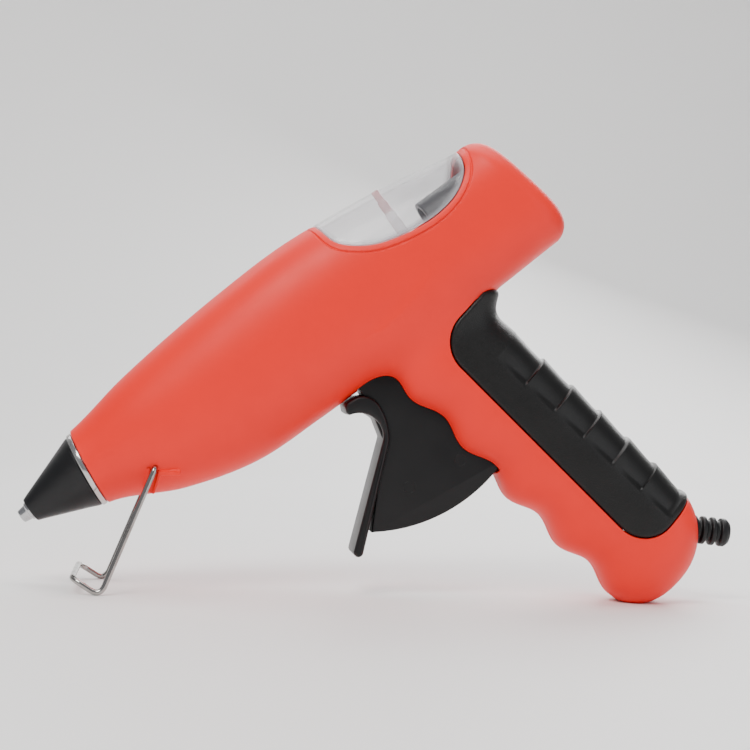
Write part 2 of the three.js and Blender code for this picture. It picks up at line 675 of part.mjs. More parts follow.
const TABLE = lowest(handleLoft(0)) + BUTT_FLAT;

function belowTable() {
  const slab = block(-300, 300, -60, 60, -80, 0).rotate([0, BARREL_TILT, 0]);
  return slab.translate([UP.x * TABLE, 0, UP.y * TABLE]);
}

// Straight runs with a round bend at each corner, as one curve.
function bentPath(corners, bends) {
  const path = new THREE.CurvePath();
  const last = corners.length - 1;
  const toward = (a, b, reach) => a.clone().lerp(b, reach / a.distanceTo(b));
  let from = corners[0];
  for (let i = 1; i < last; i += 1) {
    const enter = toward(corners[i], corners[i - 1], bends[i]);
    const leave = toward(corners[i], corners[i + 1], bends[i]);
    path.add(new THREE.LineCurve3(from, enter));
    path.add(new THREE.QuadraticBezierCurve3(enter, corners[i], leave));
    from = leave;
  }
  path.add(new THREE.LineCurve3(from, corners[last]));
  return path;
}

// The stand as bent wire, with its foot bends a given drop below the pivots.
function standAt(drop) {
  const forward = v2(-UP.y, UP.x);
  const foot = STAND.clone().addScaledVector(UP, -drop).addScaledVector(forward, STAND_REACH);
  const toe = foot.clone().addScaledVector(v2(-0.35, 0.94), STAND_TOE);
  const at = (place, y) => v3(place.x, y, place.y);
  const half = [
    at(STAND, STAND_PIVOT_Y - 6), at(STAND, STAND_PIVOT_Y), at(foot, STAND_FOOT_Y), at(toe, STAND_FOOT_Y - 1),
  ];
  const bends = [0, 1.6, 4, 4];
  const corners = [...half, ...half.map((p) => v3(p.x, -p.y, p.z)).reverse()];
  return wire(bentPath(corners, [...bends, ...bends.toReversed()]), WIRE_RADIUS, 62, 7);
}

// The drop is settled until the foot rests on the table that the butt rests on.
function wireStand() {
  let drop = STAND.dot(UP) - TABLE - WIRE_RADIUS;
  for (let i = 0; i < 5; i += 1) drop += lowest(standAt(drop)) - TABLE;
  return standAt(drop);
}

// ---- Cord entry ---------------------------------------------------------------------------------------

const STEM_RADIUS = BOOT_RADIUS - 1;
const CLAMP_LOW = -STEM_RADIUS - GAP;
const CLAMP_THICKNESS = 2.5;
const CLAMP_SCREW_Y = 7;

function strainRelief() {
  const flange = rod(-0.2, FLANGE_THICKNESS - 0.2, FLANGE_RADIUS, 20);
  const stem = rod(-11.6, 1, STEM_RADIUS, 20);
  const pitch = (BOOT_LENGTH - 3) / BOOT_RIBS;
  const profile = [[1, 0], [1, BOOT_RADIUS]];
  for (let i = 0; i < BOOT_RIBS; i += 1) {
    const u = FLANGE_THICKNESS + pitch * (i + 0.35);
    profile.push([u, BOOT_RADIUS], [u + 0.4, BOOT_RADIUS - 1.2], [u + 1.6, BOOT_RADIUS - 1.2], [u + 2, BOOT_RADIUS]);
  }
  const end = FLANGE_THICKNESS + BOOT_LENGTH;
  profile.push([end - 1.6, BOOT_RADIUS], [end - 0.4, BOOT_RADIUS - 0.9], [end, BOOT_RADIUS - 2.4], [end, 0]);
  const cordWay = rod(-20, 40, 2.6, 14);
  return bootFrame(joined(flange, stem, turned(profile, 16)).subtract(cordWay));
}

function cordClamp() {
  const bar = block(-10.5, -6.5, -9, 9, CLAMP_LOW - CLAMP_THICKNESS, CLAMP_LOW);
  const holes = [-1, 1].map((side) => clampAxis(side, 1 + GAP, -20, 20));
  return bootFrame(cut(bar, ...holes));
}

// A cylinder along a clamp screw's axis, from w0 to w1 in the boot's frame.
function clampAxis(side, radius, w0, w1) {
  const geometry = new THREE.CylinderGeometry(radius, radius, w1 - w0, 12).rotateX(Math.PI / 2);
  return solidOf(geometry.translate(-8.5, side * CLAMP_SCREW_Y, (w0 + w1) / 2));
}

function clampScrew(side) {
  const under = CLAMP_LOW - CLAMP_THICKNESS - GAP;
  return bootFrame(joined(clampAxis(side, 2, under - 1.6, under), clampAxis(side, 1, under - 0.5, 1.5)));
}

function clampPosts() {
  const bar = block(-11, -6, -HALF_WIDTH, HALF_WIDTH, CLAMP_LOW + GAP, 3);
  const holes = [-1, 1].map((side) => clampAxis(side, 1 + GAP, -20, 2));
  return bootFrame(cut(bar, rod(-20, 20, STEM_RADIUS + GAP), ...holes));
}

const BLOCK_PLACE = handlePoint(83, 6.5);

function terminalBlock() {
  const body = block(-5, 5, -8, 8, -5, 5);
  const wells = [-4, 4].map((y) => block(0, 8, y - 1.8, y + 1.8, -1.8, 1.8));
  return cut(body, ...wells).rotate([0, -HANDLE_TILT, 0]).translate([BLOCK_PLACE.x, 0, BLOCK_PLACE.y]);
}

function heaterLead(side) {
  const heaterBack = CHAMBER_START + HEATER_SETBACK + 2 * GAP + HEATER_LENGTH;
  const top = handlePoint(77.2, 6.5);
  const at = (place, y) => v3(place.x, side * y, place.y);
  const beside = HANDLE_WIDTH / 2 - PAD_THICKNESS - GAP - WALL - 1.9; // clear of the handle's wall
  const curve = new THREE.CatmullRomCurve3([
    at(v2(heaterBack, HEATER_LOW + HEATER_THICKNESS / 2), 3.5),
    at(v2(heaterBack + 12, HEATER_LOW), 4.5),
    at(v2(CHAMBER_END + 14, -16), 9),
    at(v2(PIVOT.x - 4, -20), 11.6),
    at(v2(PIVOT.x + 14, -24), 11.6),
    at(handlePoint(6, 5), beside),
    at(handlePoint(35, 7), beside),
    at(handlePoint(64, 7), beside - 1.8),
    at(top, 4),
  ]);
  return wire(curve, 0.9, 30, 5);
}

// ---- Finishes and assembly ------------------------------------------------------------------------

const FINISH = {
  casing: { color: 0xf2452f, roughness: 0.5, metalness: 0 },
  black: { color: 0x17171a, roughness: 0.55, metalness: 0 },
  rubber: { color: 0x222226, roughness: 0.75, metalness: 0 },
  clear: { color: 0xf2f4f5, roughness: 0.1, metalness: 0, transparent: true, opacity: 0.35 },
  natural: { color: 0xe8e2d2, roughness: 0.5, metalness: 0 },
  steel: { color: 0xc9ccd0, roughness: 0.25, metalness: 1 },
  aluminium: { color: 0xb9bbbe, roughness: 0.4, metalness: 1 },
  ceramic: { color: 0xf1efe8, roughness: 0.6, metalness: 0 },
  silicone: { color: 0xb8412f, roughness: 0.7, metalness: 0 },
};

// The named mesh of one piece, from its solid or its geometry.
function piece(name, shape, finish) {
  let geometry = shape;
  if (!shape.isBufferGeometry) {
    const { vertProperties, triVerts } = shape.getMesh();
    geometry = new THREE.BufferGeometry()
      .setAttribute("position", new THREE.BufferAttribute(vertProperties, 3))
      .setIndex(new THREE.BufferAttribute(triVerts, 1))
      .toNonIndexed();
    geometry.computeVertexNormals();
  }
  const mesh = new THREE.Mesh(geometry, new THREE.MeshStandardMaterial(finish));
  mesh.name = name;
  return mesh;
}

function hotEnd() {
  const group = new THREE.Group();
  const ball = piece("valve_ball", new THREE.SphereGeometry(BALL_RADIUS, 14, 10), FINISH.steel);
  ball.position.x = BALL_U;
  const springStart = BALL_U + BALL_RADIUS + 2 * GAP;
  const springLength = CHAMBER_START + SOCKET_DEPTH - GAP - springStart - 0.8;
  const spring = piece("valve_spring", coil(2.4, 5, springLength, 0.35), FINISH.steel);
  spring.rotation.z = -Math.PI / 2;
  spring.position.x = springStart + 0.4;
  group.add(
    piece("nozzle", nozzle(), FINISH.aluminium),
    piece("nozzle_cover", nozzleCover(), FINISH.rubber),
    piece("front_collar", frontCollar(), FINISH.steel),
    piece("melt_chamber", meltChamber(), FINISH.aluminium),
    piece("heater_element", heater(), FINISH.ceramic),
    piece("heater_clip", heaterClip(), FINISH.steel),
    piece("front_support", chamberSupport(CHAMBER_START + 4), FINISH.natural),
    piece("rear_support", chamberSupport(CHAMBER_END - 10.2), FINISH.natural),
    piece("inlet_sleeve", inletSleeve(), FINISH.silicone),
    piece("sleeve_clamp", sleeveClamp(), FINISH.steel),
    ball,
    spring,
  );
  return group;
}

function feed() {
  const group = new THREE.Group();
  const lever = piece("clamp_lever", clampLever(), FINISH.steel);
  lever.position.set(LEVER_PIN.x, 0, LEVER_PIN.y);
  group.add(
    piece("feed_carriage", feedCarriage(), FINISH.casing),
    piece("clamp_lever_pin", crossPin(LEVER_PIN, LEVER_PIN_RADIUS, -4.1, 4.1, 12), FINISH.steel),
    lever,
  );
  return group;
}

function triggerGroup() {
  const group = new THREE.Group();
  group.position.set(PIVOT.x, 0, PIVOT.y);
  const tip = FEED_PIN.clone().sub(PIVOT);
  const spring = piece("trigger_spring", coil(SPRING_RADIUS, 3, 2.4, SPRING_WIRE), FINISH.steel);
  spring.position.y = HUB_WELL_Y + GAP + SPRING_WIRE;
  group.add(
    piece("trigger", trigger(), FINISH.black),
    piece("trigger_pin", crossPin(v2(0, 0), PIN_RADIUS, -15, 15), FINISH.steel),
    piece("feed_pin", crossPin(tip, FEED_PIN_RADIUS, -LUG_OUTER, LUG_OUTER, 12), FINISH.steel),
    spring,
  );
  return group;
}

function cordEntry() {
  const group = new THREE.Group();
  group.add(
    piece("strain_relief", strainRelief(), FINISH.rubber),
    piece("cord_clamp", cordClamp(), FINISH.natural),
    piece("cord_clamp_screw_1", clampScrew(-1), FINISH.steel),
    piece("cord_clamp_screw_2", clampScrew(1), FINISH.steel),
    piece("terminal_block", terminalBlock(), FINISH.natural),
    piece("heater_lead_1", heaterLead(-1), FINISH.ceramic),
    piece("heater_lead_2", heaterLead(1), FINISH.ceramic),
  );
  return group;
}

const HEAD_HEIGHT = 2;
const HEAD_SEAT = 8;

function housingScrews() {
  const shank = crossPin(v2(0, 0), SCREW_RADIUS, HEAD_SEAT + GAP - SCREW_LENGTH, HEAD_SEAT + 1, 8);
  const head = crossPin(v2(0, 0), SCREW_HEAD, HEAD_SEAT + GAP, HEAD_SEAT + GAP + HEAD_HEIGHT, 10);
  const slot = block(-2, 2, HEAD_SEAT + GAP + 1, HEAD_SEAT + 5, -0.4, 0.4);
  const screw = joined(head, shank).subtract(slot).subtract(slot.rotate([0, 90, 0]));
  return SCREWS.map((place, i) => {
    const mesh = piece("housing_screw_" + (i + 1), screw, FINISH.steel);
    mesh.position.set(place.x, 0, place.y);
    return mesh;
  });
}

const shells = housings();
const gun = new THREE.Group();
gun.add(
  piece("left_housing", shells.left, FINISH.casing),
  piece("right_housing", shells.right, FINISH.casing),
  piece("window_cover", windowCover(), FINISH.clear),
  piece("grip_pad", gripPad(), FINISH.black),
  piece("rear_guide_tube", guideTube(), FINISH.rubber),
  piece("wire_stand", wireStand(), FINISH.steel),
  hotEnd(),
  feed(),
  triggerGroup(),
  cordEntry(),
  ...housingScrews(),
);
gun.rotation.y = -radians(BARREL_TILT);
gun.position.z = -TABLE;

// The origin is under the middle of the gun's box, on the table.
const glueGun = new THREE.Group();
glueGun.add(gun);
glueGun.updateMatrixWorld(true);
const middle = new THREE.Box3().setFromObject(glueGun, true).getCenter(new THREE.Vector3());
gun.position.x -= middle.x;
gun.position.y -= middle.y;

export default glueGun;
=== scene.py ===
"""Looks of a hot-melt glue gun on its wire stand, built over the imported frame.

Shapes are drawn in the gun's own axes in millimetres: u runs back along the barrel from the
nozzle's mouth, y is across, and w is square to the barrel, up. GunFrame turns them into metres.
"""

import json
import logging
import math
from dataclasses import dataclass, field
from enum import Enum
from typing import Callable, Sequence

import bpy
import numpy as np
from mathutils import Matrix, Vector
from mathutils.geometry import tessellate_polygon


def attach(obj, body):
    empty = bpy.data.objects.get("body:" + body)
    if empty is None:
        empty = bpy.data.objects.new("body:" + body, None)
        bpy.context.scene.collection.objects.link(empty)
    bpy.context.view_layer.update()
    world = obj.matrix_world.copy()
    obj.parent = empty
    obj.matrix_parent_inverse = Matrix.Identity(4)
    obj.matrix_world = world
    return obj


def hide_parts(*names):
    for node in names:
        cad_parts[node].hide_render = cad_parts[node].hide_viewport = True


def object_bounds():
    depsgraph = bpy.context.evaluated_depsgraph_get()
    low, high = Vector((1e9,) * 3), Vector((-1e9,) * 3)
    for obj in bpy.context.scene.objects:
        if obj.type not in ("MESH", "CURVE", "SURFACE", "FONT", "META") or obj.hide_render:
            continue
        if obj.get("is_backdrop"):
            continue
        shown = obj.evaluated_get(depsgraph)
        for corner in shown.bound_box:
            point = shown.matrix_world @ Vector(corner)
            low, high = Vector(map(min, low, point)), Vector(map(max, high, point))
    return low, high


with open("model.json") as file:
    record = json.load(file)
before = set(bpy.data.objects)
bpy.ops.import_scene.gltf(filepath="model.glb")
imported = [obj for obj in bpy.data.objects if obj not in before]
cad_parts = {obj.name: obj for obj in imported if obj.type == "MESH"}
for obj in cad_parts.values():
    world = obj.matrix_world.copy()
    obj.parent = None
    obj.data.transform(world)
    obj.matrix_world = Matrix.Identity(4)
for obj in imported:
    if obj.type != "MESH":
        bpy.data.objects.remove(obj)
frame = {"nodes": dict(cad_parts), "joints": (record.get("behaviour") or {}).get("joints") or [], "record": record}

Array = np.ndarray
Field = Callable[[Array], Array]
Pair = tuple[float, float]
Colour = tuple[float, float, float]

LOG = logging.getLogger("glue_gun")
MM = 0.001
PIVOT: Pair = (126.4, -27.0)  # trigger's pivot, the one point that ties the gun's axes to the frame
CASING_GAP = 0.3  # between the casing and a piece let into it
PARTING = 0.1  # half the gap between the casing's two halves
STEEP = 4.0  # how fast the pad's seat closes where it meets the body
PAD_CLEAR = 1.8  # from the body's surface to the pad's upper edge
LEAST = 1e-9  # keeps a length that something is divided by from being 0
ON_LEVEL = 1e-5  # a point nearer to a level than this counts as just above it
WELD_DECIMALS = 4  # decimals of a millimetre in which welded points agree
OVAL_SAMPLES = 721  # angles at which the length of a half oval's edge is summed
EDGE_STEPS = 6  # rows over a prism's rounded edge
ROLL_SHARES = (0.134, 0.5, 1.0)  # where a quarter circle has turned by 60, 30 and 0 degrees


class Keep(Enum):
    """What a sliced skin keeps."""

    ABOVE = "above"
    BOTH = "both"


class Slot(Enum):
    """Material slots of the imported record."""

    CASING = "casing"
    BLACK = "black_plastic"
    GRIP = "grip"
    NOZZLE_RUBBER = "nozzle_rubber"
    BOOT = "boot_rubber"
    CLEAR = "clear_cover"
    NATURAL = "natural_plastic"
    TUBE = "dark_tube"
    STEEL = "steel"
    WIRE = "wire"
    COLLAR = "collar"
    ALUMINIUM = "aluminium"
    CAST = "cast_aluminium"
    CERAMIC = "ceramic"
    SLEEVE = "lead_sleeve"
    SILICONE = "silicone"


# ---- The gun's own axes ----


@dataclass(frozen=True)
class GunFrame:
    """Turns the gun's axes into the row frame.

    Args:
        cosine: Cosine of the barrel's tilt.
        sine: Sine of the barrel's tilt.
        x: The nozzle mouth's x in the row frame, in millimetres.
        z: The nozzle mouth's z in the row frame, in millimetres.
    """

    cosine: float
    sine: float
    x: float
    z: float

    @classmethod
    def from_joints(cls, joints: Sequence[dict]) -> "GunFrame":
        """Reads the tilt from the feed's slide and the place from the trigger's hinge.

        Args:
            joints: The frame's joints.

        Returns:
            The gun's frame.
        """
        named = {joint["name"]: joint for joint in joints}
        axis, pivot = named["feed_slide"]["axis"], named["trigger_pull"]["pos_m"]
        cosine, sine = -axis[0], -axis[2]
        u, w = PIVOT
        return cls(
            cosine,
            sine,
            pivot[0] / MM - (u * cosine - w * sine),
            pivot[2] / MM - (u * sine + w * cosine),
        )

    def world(self, points: Array) -> Array:
        """Places gun points in the row frame.

        Args:
            points: Points as rows of u, y and w, in millimetres.

        Returns:
            The points in metres.
        """
        u, y, w = np.asarray(points, float).T
        x = u * self.cosine - w * self.sine + self.x
        z = u * self.sine + w * self.cosine + self.z
        return np.stack([x, y, z], axis=1) * MM

    def height(self, points: Array) -> Array:
        """Heights of gun points above the table.

        Args:
            points: Points as rows of u, y and w, in millimetres.

        Returns:
            The heights, in millimetres.
        """
        return self.world(points)[:, 2] / MM

    def lifted(self, points: Array) -> Array:
        """Moves whatever lies below the table up onto it, which leaves a flat there.

        Args:
            points: Points as rows of u, y and w, in millimetres.

        Returns:
            The points, none below the table.
        """
        rise = np.maximum(0.0, -self.height(points))
        return points + rise[:, None] * np.array([self.sine, 0.0, self.cosine])


# ---- Surfaces ----


def even_spline(values: Sequence[float], share: Array) -> Array:
    """A smooth curve through values at even steps.

    Each cubic leaves and reaches a value along the chord between that value's neighbours.

    Args:
        values: The values, evenly spaced from 0 to 1.
        share: Where to read the curve.

    Returns:
        The curve's value at each share.
    """
    held = np.asarray(values, float)
    last = len(held) - 1
    place = np.clip(share, 0.0, 1.0) * last
    i = np.minimum(place.astype(int), last - 1)
    t = place - i
    before, start, end, after = (held[np.clip(i + k, 0, last)] for k in (-1, 0, 1, 2))
    leave, arrive = (end - before) / 2, (after - start) / 2
    cubic = (2 * start - 2 * end + leave + arrive) * t**3
    return cubic + (3 * end - 3 * start - 2 * leave - arrive) * t**2 + leave * t + start


def heading(degrees: float) -> Array:
    """The unit direction at an angle from u towards w.

    Args:
        degrees: The angle.

    Returns:
        The direction, in u and w.
    """
    angle = math.radians(degrees)
    return np.array([math.cos(angle), math.sin(angle)])


def oval_distance(along: Array, across: Array, reach: Array, half: Array, power: Array) -> Array:
    """Distance from an oval's edge, along the ray from its middle; negative inside.

    The oval is where (along/reach)^power + (across/half)^power is 1.

    Args:
        along: Coordinates along the oval's long axis.
        across: Coordinates across it.
        reach: Half length along.
        half: Half width across.
        power: The oval's power; 2 is an ellipse.

    Returns:
        The distances.
    """
    ray = np.hypot(along, across) + LEAST
    level = (np.abs(along / reach) ** power + np.abs(across / half) ** power) ** (1 / power)
    return ray * (1 - 1 / np.maximum(level, 1e-6))


def ovals(high: Array, low: Array, half: Array, power: Array, columns: int) -> Array:
    """The y >= 0 half of a row of ovals, each sampled evenly along its edge from high to low.

    Args:
        high: Top points in u and w, one row each.
        low: Bottom points in u and w.
        half: Half widths.
        power: Powers of the ovals.
        columns: Points on each half oval.

    Returns:
        A grid of gun points, rows by columns by 3.
    """
    angle = np.linspace(0.0, math.pi, OVAL_SAMPLES)
    even = np.linspace(0.0, 1.0, columns)
    grid = np.empty((len(half), columns, 3))
    for row, (top, foot, wide, n) in enumerate(zip(high, low, half, power)):
        along = np.sign(np.cos(angle)) * np.abs(np.cos(angle)) ** (2 / n)
        across = np.abs(np.sin(angle)) ** (2 / n)
        reach = np.linalg.norm(top - foot) / 2
        steps = np.hypot(np.diff(along) * reach, np.diff(across) * wide)
        length = np.concatenate([[0.0], np.cumsum(steps)])
        share = (1 + np.interp(even, length / length[-1], along)) / 2
        grid[row, :, [0, 2]] = foot[:, None] + (top - foot)[:, None] * share
        grid[row, :, 1] = wide * np.interp(even, length / length[-1], across)
    return grid


def eased(
    corners: Sequence[Sequence[float]], radius: float, steps: int = 5, closed: bool = False
) -> Array:
    """A path with each corner replaced by a parabola that starts and ends radius from it.

    Args:
        corners: The path's corners, in two or three dimensions.
        radius: Reach of the easing along each side, at most 0.45 of the side.
        steps: Points on each eased corner.
        closed: Whether the last corner joins the first.

    Returns:
        The path's points.
    """
    held = np.asarray(corners, float)
    count, most = len(held), 0.45
    made = [] if closed else [held[0]]
    for i in range(count) if closed else range(1, count - 1):
        here, before, after = held[i], held[i - 1], held[(i + 1) % count]
        reach = [min(radius, most * np.linalg.norm(p - here)) for p in (before, after)]
        enter = here + (before - here) / np.linalg.norm(before - here) * reach[0]
        leave = here + (after - here) / np.linalg.norm(after - here) * reach[1]
        for t in np.linspace(0.0, 1.0, steps):
            made.append(enter * (1 - t) ** 2 + here * 2 * t * (1 - t) + leave * t**2)
    if not closed:
        made.append(held[-1])
    return np.array(made)


def arc(middle: Pair, radius: float, start: float, end: float, steps: int) -> Array:
    """Points on a circle.

    Args:
        middle: The circle's middle.
        radius: Its radius.
        start: First angle, in degrees.
        end: Last angle, in degrees.
        steps: Number of points.

    Returns:
        The points, one row each.
    """
    angle = np.radians(np.linspace(start, end, steps))
    return np.stack([middle[0] + radius * np.cos(angle), middle[1] + radius * np.sin(angle)], axis=1)


def bend(start: Pair, by: Pair, end: Pair, steps: int) -> Array:
    """A parabola from start to end that leaves and arrives towards by.

    Args:
        start: First point.
        by: Where the two ends' tangents meet.
        end: Last point.
        steps: Number of points.

    Returns:
        The points, one row each.
    """
    t = np.linspace(0.0, 1.0, steps)[:, None]
    return np.array(start) * (1 - t) ** 2 + np.array(by) * 2 * t * (1 - t) + np.array(end) * t**2


def smooth_step(values: Array, start: float, end: float) -> Array:
    """Rises from 0 at start to 1 at end with level ends.

    Args:
        values: Where to read it.
        start: Where it is 0.
        end: Where it is 1; may be below start.

    Returns:
        The values of the step.
    """
    t = np.clip((values - start) / (end - start), 0.0, 1.0)
    return t * t * (3 - 2 * t)


@dataclass
class Skin:
    """A triangle surface in the gun's millimetres.

    Args:
        points: Gun points, one row each.
        faces: Triangles, as rows of three point numbers.
    """

    points: Array
    faces: Array

    @classmethod
    def over_grid(cls, grid: Array, flip: bool = False, wrap: bool = False) -> "Skin":
        """Covers a grid of points with triangles.

        Args:
            grid: Points, rows by columns by 3.
            flip: Whether to turn the faces over.
            wrap: Whether the last column joins the first.

        Returns:
            The skin, with coincident points welded.
        """
        rows, columns = grid.shape[:2]
        index = np.arange(rows * columns).reshape(rows, columns)
        if wrap:
            index = np.concatenate([index, index[:, :1]], axis=1)
        a, b, c, d = index[:-1, :-1], index[1:, :-1], index[1:, 1:], index[:-1, 1:]
        halves = [np.stack(corners, axis=-1).reshape(-1, 3) for corners in ((a, b, c), (a, c, d))]
        faces = np.concatenate(halves)
        return cls(grid.reshape(-1, 3), faces[:, ::-1] if flip else faces).welded()

    def welded(self) -> "Skin":
        """Joins points that coincide and drops the triangles that this leaves without area.

        Returns:
            The welded skin.
        """
        places = np.round(self.points, WELD_DECIMALS)
        _, first, inverse = np.unique(places, axis=0, return_index=True, return_inverse=True)
        faces = inverse.reshape(-1)[self.faces]
        a, b, c = faces.T
        return Skin(self.points[first], faces[(a != b) & (b != c) & (c != a)])

    def joined(self, *others: "Skin") -> "Skin":
        """Puts several skins into one, without welding them.

        Args:
            others: The other skins.

        Returns:
            The skin of all.
        """
        points, faces, count = [self.points], [self.faces], len(self.points)
        for other in others:
            points.append(other.points)
            faces.append(other.faces + count)
            count += len(other.points)
        return Skin(np.concatenate(points), np.concatenate(faces))

    def mirrored(self) -> "Skin":
        """Mirrors the skin across y = 0.

        Returns:
            The mirrored skin, still facing out.
        """
        return Skin(self.points * [1, -1, 1], self.faces[:, ::-1])

    def sliced(self, level_of: Field, level: float = 0.0, keep: Keep = Keep.ABOVE) -> "Skin":
        """Cuts the skin exactly along a level of a field.

        Args:
            level_of: The field.
            level: The level to cut along.
            keep: What to keep: the part above the level, or both parts.

        Returns:
            The cut skin.
        """
        value = level_of(self.points) - level
        value[np.abs(value) < ON_LEVEL] = ON_LEVEL
        above = value[self.faces] > 0
        count = above.sum(axis=1)
        mixed = (count == 1) | (count == 2)
        corners, side, single = self.faces[mixed], above[mixed], count[mixed] == 1
        lone = np.where(single, np.argmax(side, axis=1), np.argmin(side, axis=1))
        a, b, c = np.take_along_axis(corners, (lone[:, None] + np.arange(3)) % 3, axis=1).T
        pairs = np.sort(np.concatenate([np.stack([a, b], 1), np.stack([a, c], 1)]), axis=1)
        size = len(self.points)
        code, inverse = np.unique(pairs[:, 0] * size + pairs[:, 1], return_inverse=True)
        start, end = code // size, code % size
        share = (value[start] / (value[start] - value[end]))[:, None]
        added = self.points[start] * (1 - share) + self.points[end] * share
        points = np.concatenate([self.points, added])
        p, q = (size + inverse.reshape(-1)).reshape(2, -1)
        tip = np.stack([a, p, q], axis=1)
        rest = np.concatenate([np.stack([p, b, c], axis=1), np.stack([p, c, q], axis=1)])
        twice = np.concatenate([single, single])
        faces = [self.faces[count == 3], tip[single], rest[~twice]]
        if keep is Keep.BOTH:
            faces += [self.faces[count == 0], tip[~single], rest[twice]]
        return Skin(points, np.concatenate(faces)).compact()

    def compact(self) -> "Skin":
        """Drops the points that no triangle uses.

        Returns:
            The compact skin.
        """
        used, inverse = np.unique(self.faces, return_inverse=True)
        return Skin(self.points[used], inverse.reshape(-1, 3))

    def ringed(self, edge: Field, levels: Sequence[float]) -> "Skin":
        """Adds points along levels of a field without cutting anything away.

        Args:
            edge: The field.
            levels: The levels.

        Returns:
            The skin with the added points.
        """
        skin = self
        for level in levels:
            skin = skin.sliced(edge, level, Keep.BOTH)
        return skin

    def facing_out(self) -> "Skin":
        """Turns a closed skin's faces outward.

        Returns:
            The skin, with a positive volume.
        """
        a, b, c = (self.points[self.faces[:, k]] for k in range(3))
        return self if np.sum(a * np.cross(b, c)) > 0 else Skin(self.points, self.faces[:, ::-1])

    def rim(self) -> Array:
        """The skin's open edges.

        Returns:
            Pairs of point numbers, in the direction of their triangle.
        """
        edges = np.concatenate([self.faces[:, side] for side in ([0, 1], [1, 2], [2, 0])])
        size = len(self.points)
        code = np.sort(edges, axis=1) @ np.array([size, 1])
        _, inverse, count = np.unique(code, return_inverse=True, return_counts=True)
        return edges[count[inverse.reshape(-1)] == 1]

    def normals(self) -> Array:
        """Unit normals at the points, averaged over their triangles by area.

        Returns:
            The normals, one row each.
        """
        a, b, c = (self.points[self.faces[:, k]] for k in range(3))
        area = np.cross(b - a, c - a)
        total = np.zeros_like(self.points)
        for k in range(3):
            np.add.at(total, self.faces[:, k], area)
        return total / np.maximum(np.linalg.norm(total, axis=1), 1e-12)[:, None]

    def thickened(self, wall: float, normals: Array, sunk: Array) -> "Skin":
        """A closed shell: the skin sunk by some depth, an inner skin, and a rim between them.

        Args:
            wall: Distance from the skin to the inner skin.
            normals: Outward normals of the skin.
            sunk: How far each outer point lies below the skin.

        Returns:
            The shell.
        """
        count = len(self.points)
        outer, inner = self.points - normals * sunk[:, None], self.points - normals * wall
        a, b = self.rim().T
        walls = [np.stack([b, a, a + count], axis=1), np.stack([b, a + count, b + count], axis=1)]
        faces = np.concatenate([self.faces, self.faces[:, ::-1] + count, *walls])
        return Skin(np.concatenate([outer, inner]), faces)


def gradient(of: Field, points: Array) -> Array:
    """Slope of a field by central differences.

    Args:
        of: The field.
        points: Where to measure it.

    Returns:
        The slope at each point.
    """
    step = 0.02
    sides = [(of(points + s) - of(points - s)) / (2 * step) for s in np.eye(3) * step]
    return np.stack(sides, axis=1)


def outward(of: Field, points: Array) -> Array:
    """Unit normals of the surfaces on which a field is constant.

    Args:
        of: The field.
        points: Where to measure them.

    Returns:
        The normals.
    """
    slope = gradient(of, points)
    return slope / np.maximum(np.linalg.norm(slope, axis=1), LEAST)[:, None]


def rolled(distance: Array, radius: float) -> Array:
    """How far a rounded edge lies below its surface: a quarter circle over the last radius.

    Args:
        distance: Distances from the edge.
        radius: The edge's radius.

    Returns:
        The depths.
    """
    short = np.clip(radius - distance, 0.0, radius)
    return radius - np.sqrt(radius**2 - short**2)


def turned(profile: Sequence[Pair], sides: int = 64) -> Skin:
    """A surface of revolution about the barrel's axis.

    Args:
        profile: Closed or open outline as pairs of u and radius, running so that it faces out.
        sides: Points round the axis.

    Returns:
        The surface.
    """
    held = np.asarray(profile, float)
    angle = np.linspace(0.0, 2 * math.pi, sides, endpoint=False)
    grid = np.empty((len(held), sides, 3))
    grid[..., 0] = held[:, :1]
    grid[..., 1] = held[:, 1:] * np.sin(angle)
    grid[..., 2] = held[:, 1:] * np.cos(angle)
    return Skin.over_grid(grid, wrap=True)


def swept(path: Array, radius: float, sides: int = 24) -> Skin:
    """A round wire along a path, with domed ends; its section is carried along without twist.

    Args:
        path: The centre line, one gun point a row.
        radius: The wire's radius.
        sides: Points round the wire.

    Returns:
        The wire's surface.
    """
    along = np.gradient(path, axis=0)
    along /= np.linalg.norm(along, axis=1)[:, None]
    turn = np.radians([30, 60, 90])
    dome, shrink = radius * np.sin(turn)[:, None], np.cos(turn)
    centres = np.concatenate([path[0] - along[0] * dome[::-1], path, path[-1] + along[-1] * dome])
    radii = radius * np.concatenate([shrink[::-1], np.ones(len(path)), shrink])
    along = np.concatenate([along[:1].repeat(3, 0), along, along[-1:].repeat(3, 0)])
    aside = (0.3, 0.5, 0.8)  # any direction that the path doesn't start along
    side = np.cross(along[0], aside)
    angle = np.linspace(0.0, 2 * math.pi, sides, endpoint=False)[:, None]
    grid = np.empty((len(centres), sides, 3))
    for row, (centre, direction, r) in enumerate(zip(centres, along, radii)):
        side = side - direction * (side @ direction)
        side /= np.linalg.norm(side)
        up = np.cross(direction, side)
        grid[row] = centre + r * (np.cos(angle) * side + np.sin(angle) * up)
    return Skin.over_grid(grid, flip=True, wrap=True)


